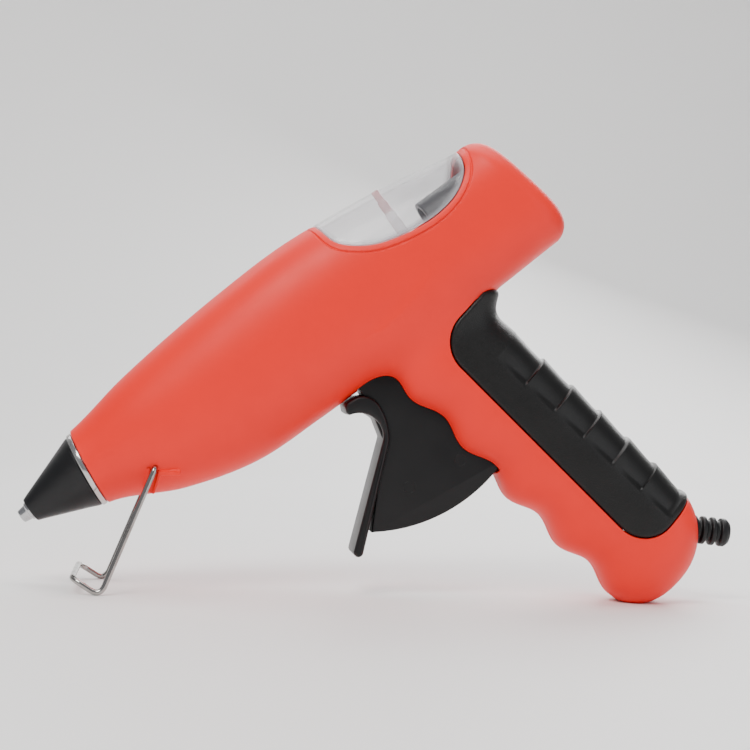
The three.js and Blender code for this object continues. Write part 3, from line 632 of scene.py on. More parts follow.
def prism(outline: Array, low: float, high: float, ease: float) -> Skin:
    """A side outline made thick across the gun, with rounded edges all round.

    Args:
        outline: Closed outline in u and w, one point a row.
        low: Lowest y.
        high: Highest y.
        ease: Radius of its edges.

    Returns:
        The closed surface.
    """
    after, before = np.roll(outline, -1, axis=0), np.roll(outline, 1, axis=0)
    turns = after - before
    area = np.sum(outline[:, 0] * after[:, 1] - after[:, 0] * outline[:, 1])
    outline, turns = (outline, turns) if area > 0 else (outline[::-1], -turns[::-1])
    inward = np.stack([-turns[:, 1], turns[:, 0]], axis=1)
    inward /= np.maximum(np.linalg.norm(inward, axis=1), LEAST)[:, None]
    angle = np.radians(np.linspace(0, 90, EDGE_STEPS))
    inset, rise = ease * (1 - np.sin(angle)), ease * (1 - np.cos(angle))
    height = np.concatenate([low + rise, (high - rise)[::-1]])
    inset = np.concatenate([inset, inset[::-1]])
    count = len(outline)
    grid = np.empty((len(height), count, 3))
    grid[..., [0, 2]] = outline + inward * inset[:, None, None]
    grid[..., 1] = height[:, None]
    face = grid[0][:, [0, 2]]
    cap = np.array(tessellate_polygon([[Vector((u, w, 0)) for u, w in face]]))
    flat = face[cap]
    one, two = flat[:, 1] - flat[:, 0], flat[:, 2] - flat[:, 0]
    turn = np.sum(one[:, 0] * two[:, 1] - one[:, 1] * two[:, 0])
    cap = cap if turn > 0 else cap[:, ::-1]
    side = Skin.over_grid(grid, wrap=True)
    caps = np.concatenate([cap, cap[:, ::-1] + count])
    return side.joined(Skin(np.concatenate([grid[0], grid[-1]]), caps)).welded()


@dataclass(frozen=True)
class Outline:
    """A closed outline in u and w.

    Args:
        points: Its corners, one row each.
        exact: How near to its box a point is measured from the outline itself.
    """

    points: Array
    exact: float = 8.0

    def distance(self, place: Array) -> Array:
        """Distance from the outline; negative inside. Far from it, the distance from its box.

        Args:
            place: Points in u and w, one row each.

        Returns:
            The distances.
        """
        low, high = self.points.min(axis=0), self.points.max(axis=0)
        made = np.linalg.norm(np.maximum(0.0, np.maximum(low - place, place - high)), axis=1)
        near = made < self.exact
        held = place[near][:, None]
        start, end = self.points, np.roll(self.points, -1, axis=0)
        span = end - start
        share = np.clip(((held - start) * span).sum(2) / (span**2).sum(1), 0.0, 1.0)
        away = np.linalg.norm(start + share[..., None] * span - held, axis=2).min(axis=1)
        rises = (start[:, 1] > held[..., 1]) != (end[:, 1] > held[..., 1])
        fall = np.where(span[:, 1] == 0, LEAST, span[:, 1])
        crossing = start[:, 0] + (held[..., 1] - start[:, 1]) / fall * span[:, 0]
        inside = (rises & (held[..., 0] < crossing)).sum(axis=1) % 2 == 1
        made[near] = np.where(inside, -away, away)
        return made


# ---- Forms of the casing ----


@dataclass(frozen=True)
class BodyForm:
    """The barrel part of the casing: ovals along the barrel, closed at the rear by a rounded face.

    Args:
        rim: Where the axis leaves the front rim.
        length: From the rim to the rear face, along the axis.
        half: Greatest half width.
        rim_tilt: The front rim's lean, in degrees.
        rear_tilt: The rear face's lean, in degrees.
        rear_round: Radius of the rear face's edge.
        top: Heights of the top at even steps along the body.
        low: Heights of the bottom at the same steps.
        plan: Shares of the half width at the same steps.
        power: Power of the front oval.
        squarer: How much greater the rear oval's power is.
        rows: Ovals along the side.
        round_rows: Ovals over the rear face's edge.
        face_rows: Ovals from there to the face's middle.
        columns: Points on each half oval.
    """

    rim: float = 28.6
    length: float = 178.4
    half: float = 22.5
    rim_tilt: float = 7.3
    rear_tilt: float = 12.3
    rear_round: float = 8.0
    top: tuple[float, ...] = (13.9, 18.1, 20.8, 22.5, 23.2, 21.5, 18.42, 14.02)
    low: tuple[float, ...] = (-13.6, -25.0, -32.1, -33.1, -33.0, -33.0, -33.0, -32.0)
    plan: tuple[float, ...] = (0.62, 0.84, 0.95, 1.0, 1.0, 0.98, 0.94, 0.88)
    power: float = 2.0
    squarer: float = 0.9
    rows: int = 216
    round_rows: int = 16
    face_rows: int = 21
    columns: int = 88

    @property
    def rear(self) -> float:
        """Where the barrel's axis leaves the rear face."""
        return self.rim + self.length

    @property
    def _leans(self) -> Pair:
        """How far the rim and the rear face lean back for each millimetre up."""
        return math.tan(math.radians(self.rim_tilt)), -math.tan(math.radians(self.rear_tilt))

    @property
    def _base(self) -> float:
        """Length of the side, without the rear face's edge."""
        return self.length - self.rear_round / math.cos(math.radians(self.rear_tilt))

    def _ends(self, share: Array) -> tuple[Array, Array]:
        """Top and bottom points of the ovals at each share of the length."""
        front, back = self._leans
        lean = front + (back - front) * share
        made = []
        for outline in (self.top, self.low):
            w = even_spline(outline, share)
            made.append(np.stack([self.rim + share * self._base + lean * w, w], axis=1))
        return made[0], made[1]

    def half_grid(self) -> Array:
        """The y >= 0 half of the whole form, from the rim over the rear edge to the face's middle.

        Returns:
            A grid of gun points.
        """
        share = np.linspace(0.0, 1.0, self.rows)
        high, low = self._ends(share)
        half = self.half * even_spline(self.plan, share)
        power = self.power + self.squarer * share
        turn = np.radians(np.linspace(0, 90, self.round_rows + 1)[1:])
        unit = (high[-1] - low[-1]) / np.linalg.norm(high[-1] - low[-1])
        inset = (self.rear_round * (1 - np.cos(turn)))[:, None]
        move = (self.rear_round * np.sin(turn))[:, None] * heading(self.rear_tilt)
        high = np.concatenate([high, high[-1] - unit * inset + move])
        low = np.concatenate([low, low[-1] + unit * inset + move])
        half = np.concatenate([half, half[-1] - inset[:, 0]])
        power = np.concatenate([power, np.full(len(turn), power[-1])])
        grid = ovals(high, low, half, power, self.columns)
        middle = (high[-1] + low[-1]) / 2
        centre = np.array([middle[0], 0.0, middle[1]])
        shrink = np.linspace(1.0, 0.0, self.face_rows + 1)[1:, None, None]
        return np.concatenate([grid, centre + (grid[-1] - centre) * shrink])

    def level(self, points: Array) -> Array:
        """Distance from the form's side surface; negative inside.

        Args:
            points: Gun points.

        Returns:
            The distances.
        """
        u, y, w = points.T
        front, back = self._leans
        share = np.clip((u - self.rim - front * w) / (self._base + (back - front) * w), 0.0, 1.0)
        top, low = even_spline(self.top, share), even_spline(self.low, share)
        half = self.half * even_spline(self.plan, share)
        power = self.power + self.squarer * share
        return oval_distance(w - (top + low) / 2, y, (top - low) / 2, half, power)

    def past_rim(self, points: Array) -> Array:
        """Distance behind the front rim's leaning plane.

        Args:
            points: Gun points.

        Returns:
            The distances.
        """
        lean = math.radians(self.rim_tilt)
        return (points[:, 0] - self.rim) * math.cos(lean) - points[:, 2] * math.sin(lean)


@dataclass(frozen=True)
class HandleForm:
    """The handle: ovals down its own axis, wavy for the fingers in front and bowed behind.

    Args:
        root: Where its axis starts, in u and w.
        tilt: Its lean from square to the barrel, in degrees.
        length: From the root to the butt.
        half: Half width.
        power: Power of its ovals.
        front: Mean place of the front edge, towards the back.
        front_lean: How much the front edge draws back for each millimetre down.
        front_from: Where the front edge is at its mean place.
        wave: Height of the finger waves.
        crest: Where the first wave stands out most.
        pitch: Length of a wave.
        rear: Place of the back edge at the root.
        bow: Slope of the back edge at the root, and how it falls off.
        front_end: Depth of the butt's rounding in front.
        back_end: Its depth behind.
        side_end: Its depth at the sides.
        above: How far above the root its surface starts.
        counted: How far above the root it is measured.
        rows: Ovals down to the butt's rounding.
        end_rows: Ovals over the rounding.
        columns: Points on each half oval.
    """

    root: Pair = (150.0, -33.0)
    tilt: float = 9.3
    length: float = 123.5
    half: float = 17.0
    power: float = 2.5
    front: float = -20.6
    front_lean: float = 0.03
    front_from: float = 10.0
    wave: float = 1.75
    crest: float = 9.5
    pitch: float = 24.7
    rear: float = 20.6
    bow: Pair = (0.078, 0.00035)
    front_end: float = 13.0
    back_end: float = 24.0
    side_end: float = 17.0
    above: float = 16.0
    counted: float = 10.0
    rows: int = 140
    end_rows: int = 39
    columns: int = 72

    @property
    def down(self) -> Array:
        """Direction down the handle, in u and w."""
        cosine, sine = heading(self.tilt)
        return np.array([sine, -cosine])

    @property
    def back(self) -> Array:
        """Direction towards the handle's back, in u and w."""
        return heading(self.tilt)

    def place(self, down: Array | float, back: Array | float) -> Array:
        """Points given down the handle and towards its back.

        Args:
            down: Distances down.
            back: Distances back.

        Returns:
            The points in u and w, one row each.
        """
        down, back = np.atleast_1d(down).astype(float), np.atleast_1d(back).astype(float)
        return np.array(self.root) + down[:, None] * self.down + back[:, None] * self.back

    def read(self, points: Array) -> tuple[Array, Array]:
        """Where gun points lie down the handle and towards its back.

        Args:
            points: Gun points.

        Returns:
            The distances down and back.
        """
        held = points[:, [0, 2]] - np.array(self.root)
        return held @ self.down, held @ self.back

    def _edges(self, down: Array) -> tuple[Array, Array, Array]:
        """Front, back and half width at each distance down."""

        def quarter(size: float) -> Array:
            """Shares of full size over a butt rounded by a quarter oval, size deep."""
            over = np.clip(down - self.length + size, 0.0, size)
            return np.sqrt(1 - (over / size) ** 2)

        first = np.minimum(down, self.length - self.front_end)
        wave = self.wave * np.cos(2 * math.pi * (first - self.crest) / self.pitch)
        front = self.front + self.front_lean * (first - self.front_from) - wave
        last = np.minimum(down, self.length - self.back_end)
        back = self.rear + self.bow[0] * last - self.bow[1] * last**2
        tiny = 0.02
        return (
            np.minimum(front * quarter(self.front_end), -tiny),
            np.maximum(back * quarter(self.back_end), tiny),
            np.maximum(self.half * quarter(self.side_end), tiny),
        )

    def half_grid(self) -> Array:
        """The y >= 0 half of the handle, from inside the body to the butt.

        Returns:
            A grid of gun points.
        """
        straight = np.linspace(-self.above, self.length - self.back_end, self.rows)
        turn = np.radians(np.linspace(0, 90, self.end_rows + 1)[1:])
        down = np.concatenate([straight, self.length - self.back_end * (1 - np.sin(turn))])
        front, back, half = self._edges(down)
        power = np.full(len(down), self.power)
        return ovals(self.place(down, back), self.place(down, front), half, power, self.columns)

    def level(self, points: Array) -> Array:
        """Distance from the handle's surface; negative inside.

        Args:
            points: Gun points.

        Returns:
            The distances.
        """
        down, back = self.read(points)
        front, rear, half = self._edges(down)
        middle, reach = (front + rear) / 2, (rear - front) / 2
        side = oval_distance(back - middle, points[:, 1], reach, half, np.array(self.power))
        return np.maximum(side, -self.counted - down)


@dataclass(frozen=True)
class CasingForm:
    """The body and the handle run into one another over a soft hollow.

    Args:
        body: The body's form.
        handle: The handle's form.
        soft: Width over which the two surfaces run together.
    """

    body: BodyForm = BodyForm()
    handle: HandleForm = HandleForm()
    soft: float = 10.0

    def level(self, points: Array) -> Array:
        """The lesser of the two distances, less a quarter of soft where they are equal.

        Args:
            points: Gun points.

        Returns:
            The distances.
        """
        a, b = self.body.level(points), self.handle.level(points)
        near = np.maximum(self.soft - np.abs(a - b), 0.0) / self.soft
        return np.minimum(a, b) - near**2 * self.soft / 4

    def _lead(self, points: Array) -> Array:
        """How much further each point is from the handle than from the body."""
        return self.handle.level(points) - self.body.level(points)

    def _lag(self, points: Array) -> Array:
        """How much further each point is from the body than from the handle."""
        return -self._lead(points)

    def _settled(self, skin: Skin) -> Skin:
        """Moves the points near the hollow onto the joint surface, by Newton steps along its slope."""
        steps, least_slope = 5, 0.05
        points = skin.points.copy()
        near = np.abs(self._lead(points)) < self.soft + 1
        held = points[near]
        for _ in range(steps):
            slope = gradient(self.level, held)
            size = np.maximum((slope**2).sum(axis=1), least_slope)
            held = held - slope * (self.level(held) / size)[:, None]
        held[:, 1] = np.maximum(held[:, 1], 0.0)
        points[near] = held
        return Skin(points, skin.faces)

    def half_skin(self) -> Skin:
        """The y >= 0 half of the casing's outside, before anything is cut from it.

        Returns:
            The skin.
        """
        buried, overlap = -2.5, -0.02
        body = Skin.over_grid(self.body.half_grid()).sliced(self.handle.level, buried)
        handle = Skin.over_grid(self.handle.half_grid()).sliced(self.body.level, buried)
        body = self._settled(body).sliced(self._lead, overlap)
        return body.joined(self._settled(handle).sliced(self._lag, overlap))

    def surface_y(self, place: Array) -> Array:
        """The casing's half width at places seen from the side, by halving.

        Args:
            place: Points in u and w.

        Returns:
            The y of the surface at each.
        """
        widest, halvings = 30.0, 24
        low, high = np.zeros(len(place)), np.full(len(place), widest)
        for _ in range(halvings):
            middle = (low + high) / 2
            inside = self.level(np.stack([place[:, 0], middle, place[:, 1]], axis=1)) < 0
            low, high = np.where(inside, middle, low), np.where(inside, high, middle)
        return low


# ---- Node materials ----


class Wire:
    """One output socket, whose arithmetic adds maths nodes to its graph."""

    def __init__(self, graph: "Graph", socket: bpy.types.NodeSocket) -> None:
        """Wraps a socket.

        Args:
            graph: The graph the socket is in.
            socket: The socket.
        """
        self.graph = graph
        self.socket = socket

    def _maths(self, operation: str, *inputs: "Wire | float") -> "Wire":
        """Adds one maths node."""
        node = self.graph.add("ShaderNodeMath", {"operation": operation}, dict(enumerate(inputs)))
        return Wire(self.graph, node.outputs[0])

    def __add__(self, other: "Wire | float") -> "Wire":
        return self._maths("ADD", self, other)

    def __radd__(self, other: float) -> "Wire":
        return self._maths("ADD", other, self)

    def __sub__(self, other: "Wire | float") -> "Wire":
        return self._maths("SUBTRACT", self, other)

    def __rsub__(self, other: float) -> "Wire":
        return self._maths("SUBTRACT", other, self)

    def __mul__(self, other: "Wire | float") -> "Wire":
        return self._maths("MULTIPLY", self, other)

    def __rmul__(self, other: float) -> "Wire":
        return self._maths("MULTIPLY", other, self)

    def __truediv__(self, other: "Wire | float") -> "Wire":
        return self._maths("DIVIDE", self, other)

    def __rtruediv__(self, other: float) -> "Wire":
        return self._maths("DIVIDE", other, self)

    def __pow__(self, other: "Wire | float") -> "Wire":
        return self._maths("POWER", self, other)

    def step(self, start: float, end: float) -> "Wire":
        """Rises smoothly from 0 at start to 1 at end.

        Args:
            start: Where it is 0.
            end: Where it is 1.

        Returns:
            The stepped value.
        """
        node = self.graph.add(
            "ShaderNodeMapRange",
            {"interpolation_type": "SMOOTHSTEP"},
            {"Value": self, "From Min": start, "From Max": end},
        )
        return Wire(self.graph, node.outputs["Result"])


class Graph:
    """The node graph of one material."""

    def __init__(self, name: str) -> None:
        """Makes an empty material.

        Args:
            name: The material's name.
        """
        self.material = bpy.data.materials.new(name)
        self.material.use_nodes = True
        self.tree = self.material.node_tree
        self.tree.nodes.clear()

    def add(self, kind: str, settings: dict, sockets: dict) -> bpy.types.Node:
        """Adds a node.

        Args:
            kind: The node's type.
            settings: Its properties.
            sockets: Its inputs by name or number, each a constant or a Wire.

        Returns:
            The node.
        """
        node = self.tree.nodes.new(kind)
        for name, value in settings.items():
            setattr(node, name, value)
        for name, value in sockets.items():
            if isinstance(value, Wire):
                self.tree.links.new(value.socket, node.inputs[name])
            else:
                node.inputs[name].default_value = value
        return node

    def place(self) -> Wire:
        """The object's own coordinates, in metres.

        Returns:
            The coordinates.
        """
        return Wire(self, self.add("ShaderNodeTexCoord", {}, {}).outputs["Object"])

    def attribute(self, name: str) -> Wire:
        """A number held at the piece's points; 0 on a piece without it.

        Args:
            name: The attribute's name.

        Returns:
            Its value.
        """
        node = self.add("ShaderNodeAttribute", {"attribute_name": name}, {})
        return Wire(self, node.outputs["Fac"])

    def stretched(self, along: Sequence[float], amount: float) -> Wire:
        """Coordinates drawn out along one direction.

        Args:
            along: The direction, of unit length.
            amount: How many times longer a feature is along it.

        Returns:
            The coordinates.
        """
        place = self.place()
        reach = self.add("ShaderNodeVectorMath", {"operation": "DOT_PRODUCT"}, {0: place, 1: tuple(along)})
        scale = Wire(self, reach.outputs["Value"]) * (1 - 1 / amount)
        part = self.add("ShaderNodeVectorMath", {"operation": "SCALE"}, {0: tuple(along), "Scale": scale})
        sockets = {0: place, 1: Wire(self, part.outputs[0])}
        left = self.add("ShaderNodeVectorMath", {"operation": "SUBTRACT"}, sockets)
        return Wire(self, left.outputs[0])

    def along(self, direction: Sequence[float]) -> Wire:
        """The coordinate along one direction, as a vector whose other parts are 0.

        Args:
            direction: The direction, of unit length.

        Returns:
            The coordinates.
        """
        sockets = {0: self.place(), 1: tuple(direction)}
        reach = self.add("ShaderNodeVectorMath", {"operation": "DOT_PRODUCT"}, sockets)
        node = self.add("ShaderNodeCombineXYZ", {}, {"X": Wire(self, reach.outputs["Value"])})
        return Wire(self, node.outputs[0])

    def noise(self, size: float, detail: float = 3.0, place: Wire | None = None) -> Wire:
        """Cloudy noise from 0 to 1.

        Args:
            size: Size of its features, in millimetres.
            detail: How many finer layers it has.
            place: Its coordinates; the object's own by default.

        Returns:
            The noise.
        """
        sockets = {"Vector": place or self.place(), "Scale": 1 / (size * MM), "Detail": detail}
        return Wire(self, self.add("ShaderNodeTexNoise", {}, sockets).outputs["Fac"])

    def cells(self, size: float, feature: str = "DISTANCE_TO_EDGE") -> Wire:
        """A pattern of cells.

        Args:
            size: Size of a cell, in millimetres.
            feature: What to measure in it.

        Returns:
            The pattern.
        """
        sockets = {"Vector": self.place(), "Scale": 1 / (size * MM)}
        node = self.add("ShaderNodeTexVoronoi", {"feature": feature}, sockets)
        return Wire(self, node.outputs["Distance"])

    def mixed(self, share: Wire, first: Colour | Wire, second: Colour | Wire) -> Wire:
        """Mixes two colours.

        Args:
            share: How much of the second.
            first: The first colour.
            second: The second colour.

        Returns:
            The mixed colour.
        """
        one, two = (held if isinstance(held, Wire) else (*held, 1.0) for held in (first, second))
        node = self.add("ShaderNodeMix", {"data_type": "RGBA"}, {0: share, 6: one, 7: two})
        return Wire(self, node.outputs[2])

    def bumped(self, height: Wire, depth: float, strength: float) -> Wire:
        """Normals of a rough surface.

        Args:
            height: Height from 0 to 1.
            depth: Height of 1, in millimetres.
            strength: How strongly it shows.

        Returns:
            The normals.
        """
        sockets = {"Height": height, "Distance": depth * MM, "Strength": strength}
        return Wire(self, self.add("ShaderNodeBump", {}, sockets).outputs[0])

    def surface(self, sockets: dict) -> Wire:
        """A principled surface.

        Args:
            sockets: Its inputs.

        Returns:
            The shader.
        """
        return Wire(self, self.add("ShaderNodeBsdfPrincipled", {}, sockets).outputs[0])

    def done(self, shader: Wire) -> bpy.types.Material:
        """Sends a shader to the output.

        Args:
            shader: The shader.

        Returns:
            The material.
        """
        self.add("ShaderNodeOutputMaterial", {}, {"Surface": shader})
        return self.material


SLIDE = next(joint["axis"] for joint in frame["joints"] if joint["name"] == "feed_slide")
BARREL_AXIS: Colour = (-SLIDE[0], 0.0, -SLIDE[2])


@dataclass(frozen=True)
class Moulded:
    """Moulded plastic: a fine spark-eroded grain, faint clouding, and slightly rubbed edges.

    Args:
        name: The material's name.
        colour: Its colour.
        deep: Colour of its clouding.
        rubbed: Colour of its rubbed edges.
        roughness: Mean roughness.
        grain: Size of the grain, in millimetres.
        depth: Depth of the grain, in millimetres.
        gloss: Strength of its own reflection, 0.5 being full.
    """

    name: str
    colour: Colour
    deep: Colour
    rubbed: Colour
    roughness: float = 0.42
    grain: float = 0.35
    depth: float = 0.012
    gloss: float = 0.34

    def material(self) -> bpy.types.Material:
        """Builds the material.

        Returns:
            The material.
        """
        graph = Graph(self.name)
        fine, cloud, wide = graph.noise(self.grain, 2.0), graph.noise(9.0, 4.0), graph.noise(55.0)
        speck = graph.cells(self.grain * 2.2, "F1")
        body = graph.mixed((cloud * 0.5 + wide * 0.5).step(0.38, 0.66), self.colour, self.deep)
        edge = graph.attribute("edge") * (0.35 + cloud * 0.6)
        colour = graph.mixed(edge.step(0.25, 1.0) * 0.55, body, self.rubbed)
        rough = self.roughness + (cloud - 0.5) * 0.12 + (fine - 0.5) * 0.10 - edge * 0.06
        height = fine * 0.6 + speck * 0.4
        sockets = {
            "Base Color": colour,
            "Roughness": rough,
            "Normal": graph.bumped(height, self.depth, 0.55),
            "IOR": 1.5,
            "Specular IOR Level": self.gloss,
        }
        return graph.done(graph.surface(sockets))


@dataclass(frozen=True)
class Leather:
    """Soft rubber with a leather-like grain of small pillows between creases.

    Args:
        name: The material's name.
        colour: Its colour.
        worn: Colour of the tops of the grain.
        roughness: Mean roughness.
        cell: Size of a pillow, in millimetres.
        depth: Depth of the creases, in millimetres.
    """

    name: str
    colour: Colour
    worn: Colour
    roughness: float = 0.5
    cell: float = 0.75
    depth: float = 0.09

    def material(self) -> bpy.types.Material:
        """Builds the material.

        Returns:
            The material.
        """
        graph = Graph(self.name)
        crease, small, cloud = graph.cells(self.cell), graph.noise(self.cell * 0.4), graph.noise(11.0, 4.0)
        tops = crease.step(0.0, 0.32)
        grained = 1 - graph.attribute("smooth")
        colour = graph.mixed(tops * (0.3 + cloud * 0.7), self.colour, self.worn)
        rough = self.roughness + (cloud - 0.5) * 0.16 - tops * 0.06 + (small - 0.5) * 0.08
        height = (tops * 0.8 + small * 0.2) * grained + small * 0.15
        sockets = {
            "Base Color": colour,
            "Roughness": rough,
            "Normal": graph.bumped(height, self.depth, 0.6),
            "IOR": 1.48,
            "Specular IOR Level": 0.36,
        }
        return graph.done(graph.surface(sockets))


@dataclass(frozen=True)
class Metal:
    """Bare or plated metal with fine tool lines along or round the piece, and slight tarnish.

    Args:
        name: The material's name.
        colour: Its colour.
        dull: Colour of its tarnish.
        roughness: Mean roughness.
        line: Width of the tool lines, in millimetres.
        depth: Depth of the tool lines, in millimetres.
        rings: Whether the lines run round the barrel's axis.
    """

    name: str
    colour: Colour
    dull: Colour
    roughness: float = 0.25
    line: float = 0.12
    depth: float = 0.004
    rings: bool = False

    def material(self) -> bpy.types.Material:
        """Builds the material.

        Returns:
            The material.
        """
        graph = Graph(self.name)
        place = graph.along(BARREL_AXIS) if self.rings else graph.stretched(BARREL_AXIS, 18.0)
        lines, cloud = graph.noise(self.line, 2.0, place), graph.noise(4.0, 5.0)
        tarnish = (cloud * 0.7 + lines * 0.3).step(0.45, 0.8)
        sockets = {
            "Base Color": graph.mixed(tarnish * 0.7, self.colour, self.dull),
            "Roughness": self.roughness + (lines - 0.5) * 0.16 + tarnish * 0.14,
            "Metallic": 1.0,
            "Normal": graph.bumped(lines, self.depth, 0.5),
        }
        return graph.done(graph.surface(sockets))


@dataclass(frozen=True)
class Clear:
    """Clear moulded plastic: mostly seen through, with a grazing sheen and a faint haze.

    Args:
        name: The material's name.
        tint: Colour of what is seen through one wall.
        haze: Colour of the haze.
        mist: Least share of haze.
        smear: Colour of the haze where it is smeared.
        blush: Colour of a painted reflection of the casing's red, given to the post.
    """

    name: str
    tint: Colour
    haze: Colour
    mist: float = 0.10
    smear: Colour = (0.7, 0.7, 0.73)
    blush: Colour = (0.75, 0.30, 0.30)

    def material(self) -> bpy.types.Material:
        """Builds the material.

        Returns:
            The material.
        """
        graph = Graph(self.name)
        through = graph.add("ShaderNodeBsdfTransparent", {}, {"Color": (*self.tint, 1.0)}).outputs[0]
        smear, fine = graph.noise(14.0, 4.0), graph.noise(0.8, 3.0)
        hazy = graph.mixed(smear, self.haze, self.smear)
        # Where the post's mark is set, the base colour is mixed towards a painted red reflection of the casing.
        sockets = {
            "Base Color": graph.mixed(graph.attribute("blush"), hazy, self.blush),
            "Roughness": 0.07 + smear * 0.12,
            "Normal": graph.bumped(fine, 0.006, 0.25),
            "IOR": 1.58,
            "Coat Weight": 0.6,
            "Coat Roughness": 0.04,
        }
        gloss = graph.surface(sockets)
        facing = Wire(graph, graph.add("ShaderNodeLayerWeight", {}, {"Blend": 0.35}).outputs["Facing"])
        edge = graph.attribute("edge")
        share = self.mist + smear * 0.05 + facing**3.0 * 0.6 + edge * 0.38
        node = graph.add("ShaderNodeMixShader", {}, {0: share, 1: Wire(graph, through), 2: gloss})
        graph.material.surface_render_method = "BLENDED"
        return graph.done(Wire(graph, node.outputs[0]))


@dataclass(frozen=True)
class Mineral:
    """Ceramic, woven sleeve or phenolic board: matt, with pores and specks.

    Args:
        name: The material's name.
        colour: Its colour.
        speck: Colour of its specks.
        roughness: Mean roughness.
        grain: Size of the specks, in millimetres.
    """

    name: str
    colour: Colour
    speck: Colour
    roughness: float = 0.6
    grain: float = 0.4

    def material(self) -> bpy.types.Material:
        """Builds the material.

        Returns:
            The material.
        """
        graph = Graph(self.name)
        pores, cloud = graph.cells(self.grain, "F1"), graph.noise(6.0, 4.0)
        sockets = {
            "Base Color": graph.mixed((pores * 0.6 + cloud * 0.4).step(0.35, 0.7), self.colour, self.speck),
            "Roughness": self.roughness + (cloud - 0.5) * 0.2,
            "Normal": graph.bumped(pores, 0.03, 0.5),
        }
        return graph.done(graph.surface(sockets))


RED: Colour = (0.90, 0.012, 0.004)
FINISHES = {
    Slot.CASING: Moulded(
        "casing_red", RED, (0.875, 0.011, 0.0035), (0.92, 0.035, 0.016), 0.47, 0.32, 0.014
    ),
    Slot.BLACK: Moulded(
        "satin_black", (0.0025, 0.0025, 0.003), (0.004, 0.004, 0.0045), (0.02, 0.02, 0.02), 0.40
    ),
    Slot.GRIP: Leather("grip_rubber", (0.0025, 0.0022, 0.002), (0.006, 0.0055, 0.005), 0.42),
    Slot.NOZZLE_RUBBER: Leather(
        "nozzle_silicone", (0.004, 0.004, 0.005), (0.007, 0.007, 0.008), 0.42, 0.4, 0.02
    ),
    Slot.BOOT: Leather("boot_rubber", (0.003, 0.003, 0.0035), (0.007, 0.007, 0.0075), 0.46, 0.5, 0.03),
    Slot.CLEAR: Clear("clear_cover", (0.985, 0.985, 0.99), (0.34, 0.34, 0.37), 0.05),
    Slot.NATURAL: Mineral("natural_plastic", (0.66, 0.61, 0.48), (0.5, 0.44, 0.31), 0.55, 0.6),
    Slot.TUBE: Moulded("tube_nylon", (0.012, 0.012, 0.015), (0.007, 0.007, 0.009), (0.06, 0.06, 0.07), 0.38),
    Slot.STEEL: Metal("zinc_steel", (0.62, 0.62, 0.64), (0.38, 0.38, 0.40), 0.28),
    Slot.WIRE: Metal("bright_wire", (0.40, 0.385, 0.37), (0.20, 0.18, 0.165), 0.14, 0.25, 0.003),
    Slot.COLLAR: Metal("polished_collar", (0.62, 0.61, 0.60), (0.42, 0.40, 0.38), 0.12, 0.2, 0.002, True),
    Slot.ALUMINIUM: Metal("turned_tip", (0.50, 0.50, 0.51), (0.30, 0.29, 0.28), 0.24, 0.10, 0.006, True),
    Slot.CAST: Metal("cast_chamber", (0.52, 0.52, 0.53), (0.34, 0.34, 0.34), 0.45, 0.5, 0.03),
    Slot.CERAMIC: Mineral("heater_ceramic", (0.80, 0.78, 0.74), (0.62, 0.6, 0.55), 0.6, 0.5),
    Slot.SLEEVE: Mineral("glass_sleeve", (0.72, 0.70, 0.62), (0.5, 0.48, 0.4), 0.7, 0.3),
    Slot.SILICONE: Leather("red_silicone", (0.36, 0.05, 0.03), (0.45, 0.08, 0.05), 0.5, 0.6, 0.02),
}


# ---- Placing pieces ----


@dataclass
class Workshop:
    """Turns skins into finished pieces of the scene.

    Args:
        gun: The gun's frame.
        finishes: The materials made so far.
    """

    gun: GunFrame
    finishes: dict[Slot, bpy.types.Material] = field(default_factory=dict)

    def finish(self, slot: Slot) -> bpy.types.Material:
        """The material of a slot, made when first asked for.

        Args:
            slot: The slot.

        Returns:
            The material.
        """
        if slot not in self.finishes:
            self.finishes[slot] = FINISHES[slot].material()
        return self.finishes[slot]

    def place(
        self,
        name: str,
        skin: Skin,
        slot: Slot,
        body: str,
        nodes: Sequence[str],
        sharp: float = 40.0,
        normals: Array | None = None,
        marks: dict[str, Array] | None = None,
    ) -> bpy.types.Object:
        """Makes one piece.

        Args:
            name: The piece's name.
            skin: Its surface.
            slot: Its material slot.
            body: The body it rides on.
            nodes: The nodes it stands for.
            sharp: Angle in degrees above which an edge is sharp.
            normals: Normals at its points in the gun's axes, if they are to be set.
            marks: Numbers held at its points, by name.

        Returns:
            The piece.
        """
        mesh = bpy.data.meshes.new(name)
        mesh.from_pydata(self.gun.world(skin.points).tolist(), [], skin.faces.tolist())
        mesh.polygons.foreach_set("use_smooth", np.ones(len(mesh.polygons), bool))
        mesh.materials.append(self.finish(slot))
        for mark, values in (marks or {}).items():
            mesh.attributes.new(mark, "FLOAT", "POINT").data.foreach_set("value", values.astype(np.float32))
        mesh.update()
        if normals is None:
            mesh.set_sharp_from_angle(angle=math.radians(sharp))
        else:
            spun = self.gun.world(skin.points + normals) - self.gun.world(skin.points)
            mesh.normals_split_custom_set_from_vertices((spun / MM).tolist())
        piece = bpy.data.objects.new(name, mesh)
        bpy.context.scene.collection.objects.link(piece)
        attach(piece, body)
        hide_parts(*nodes)
        LOG.info("%s: %d triangles", name, len(skin.faces))
        return piece


# ---- Casing ----


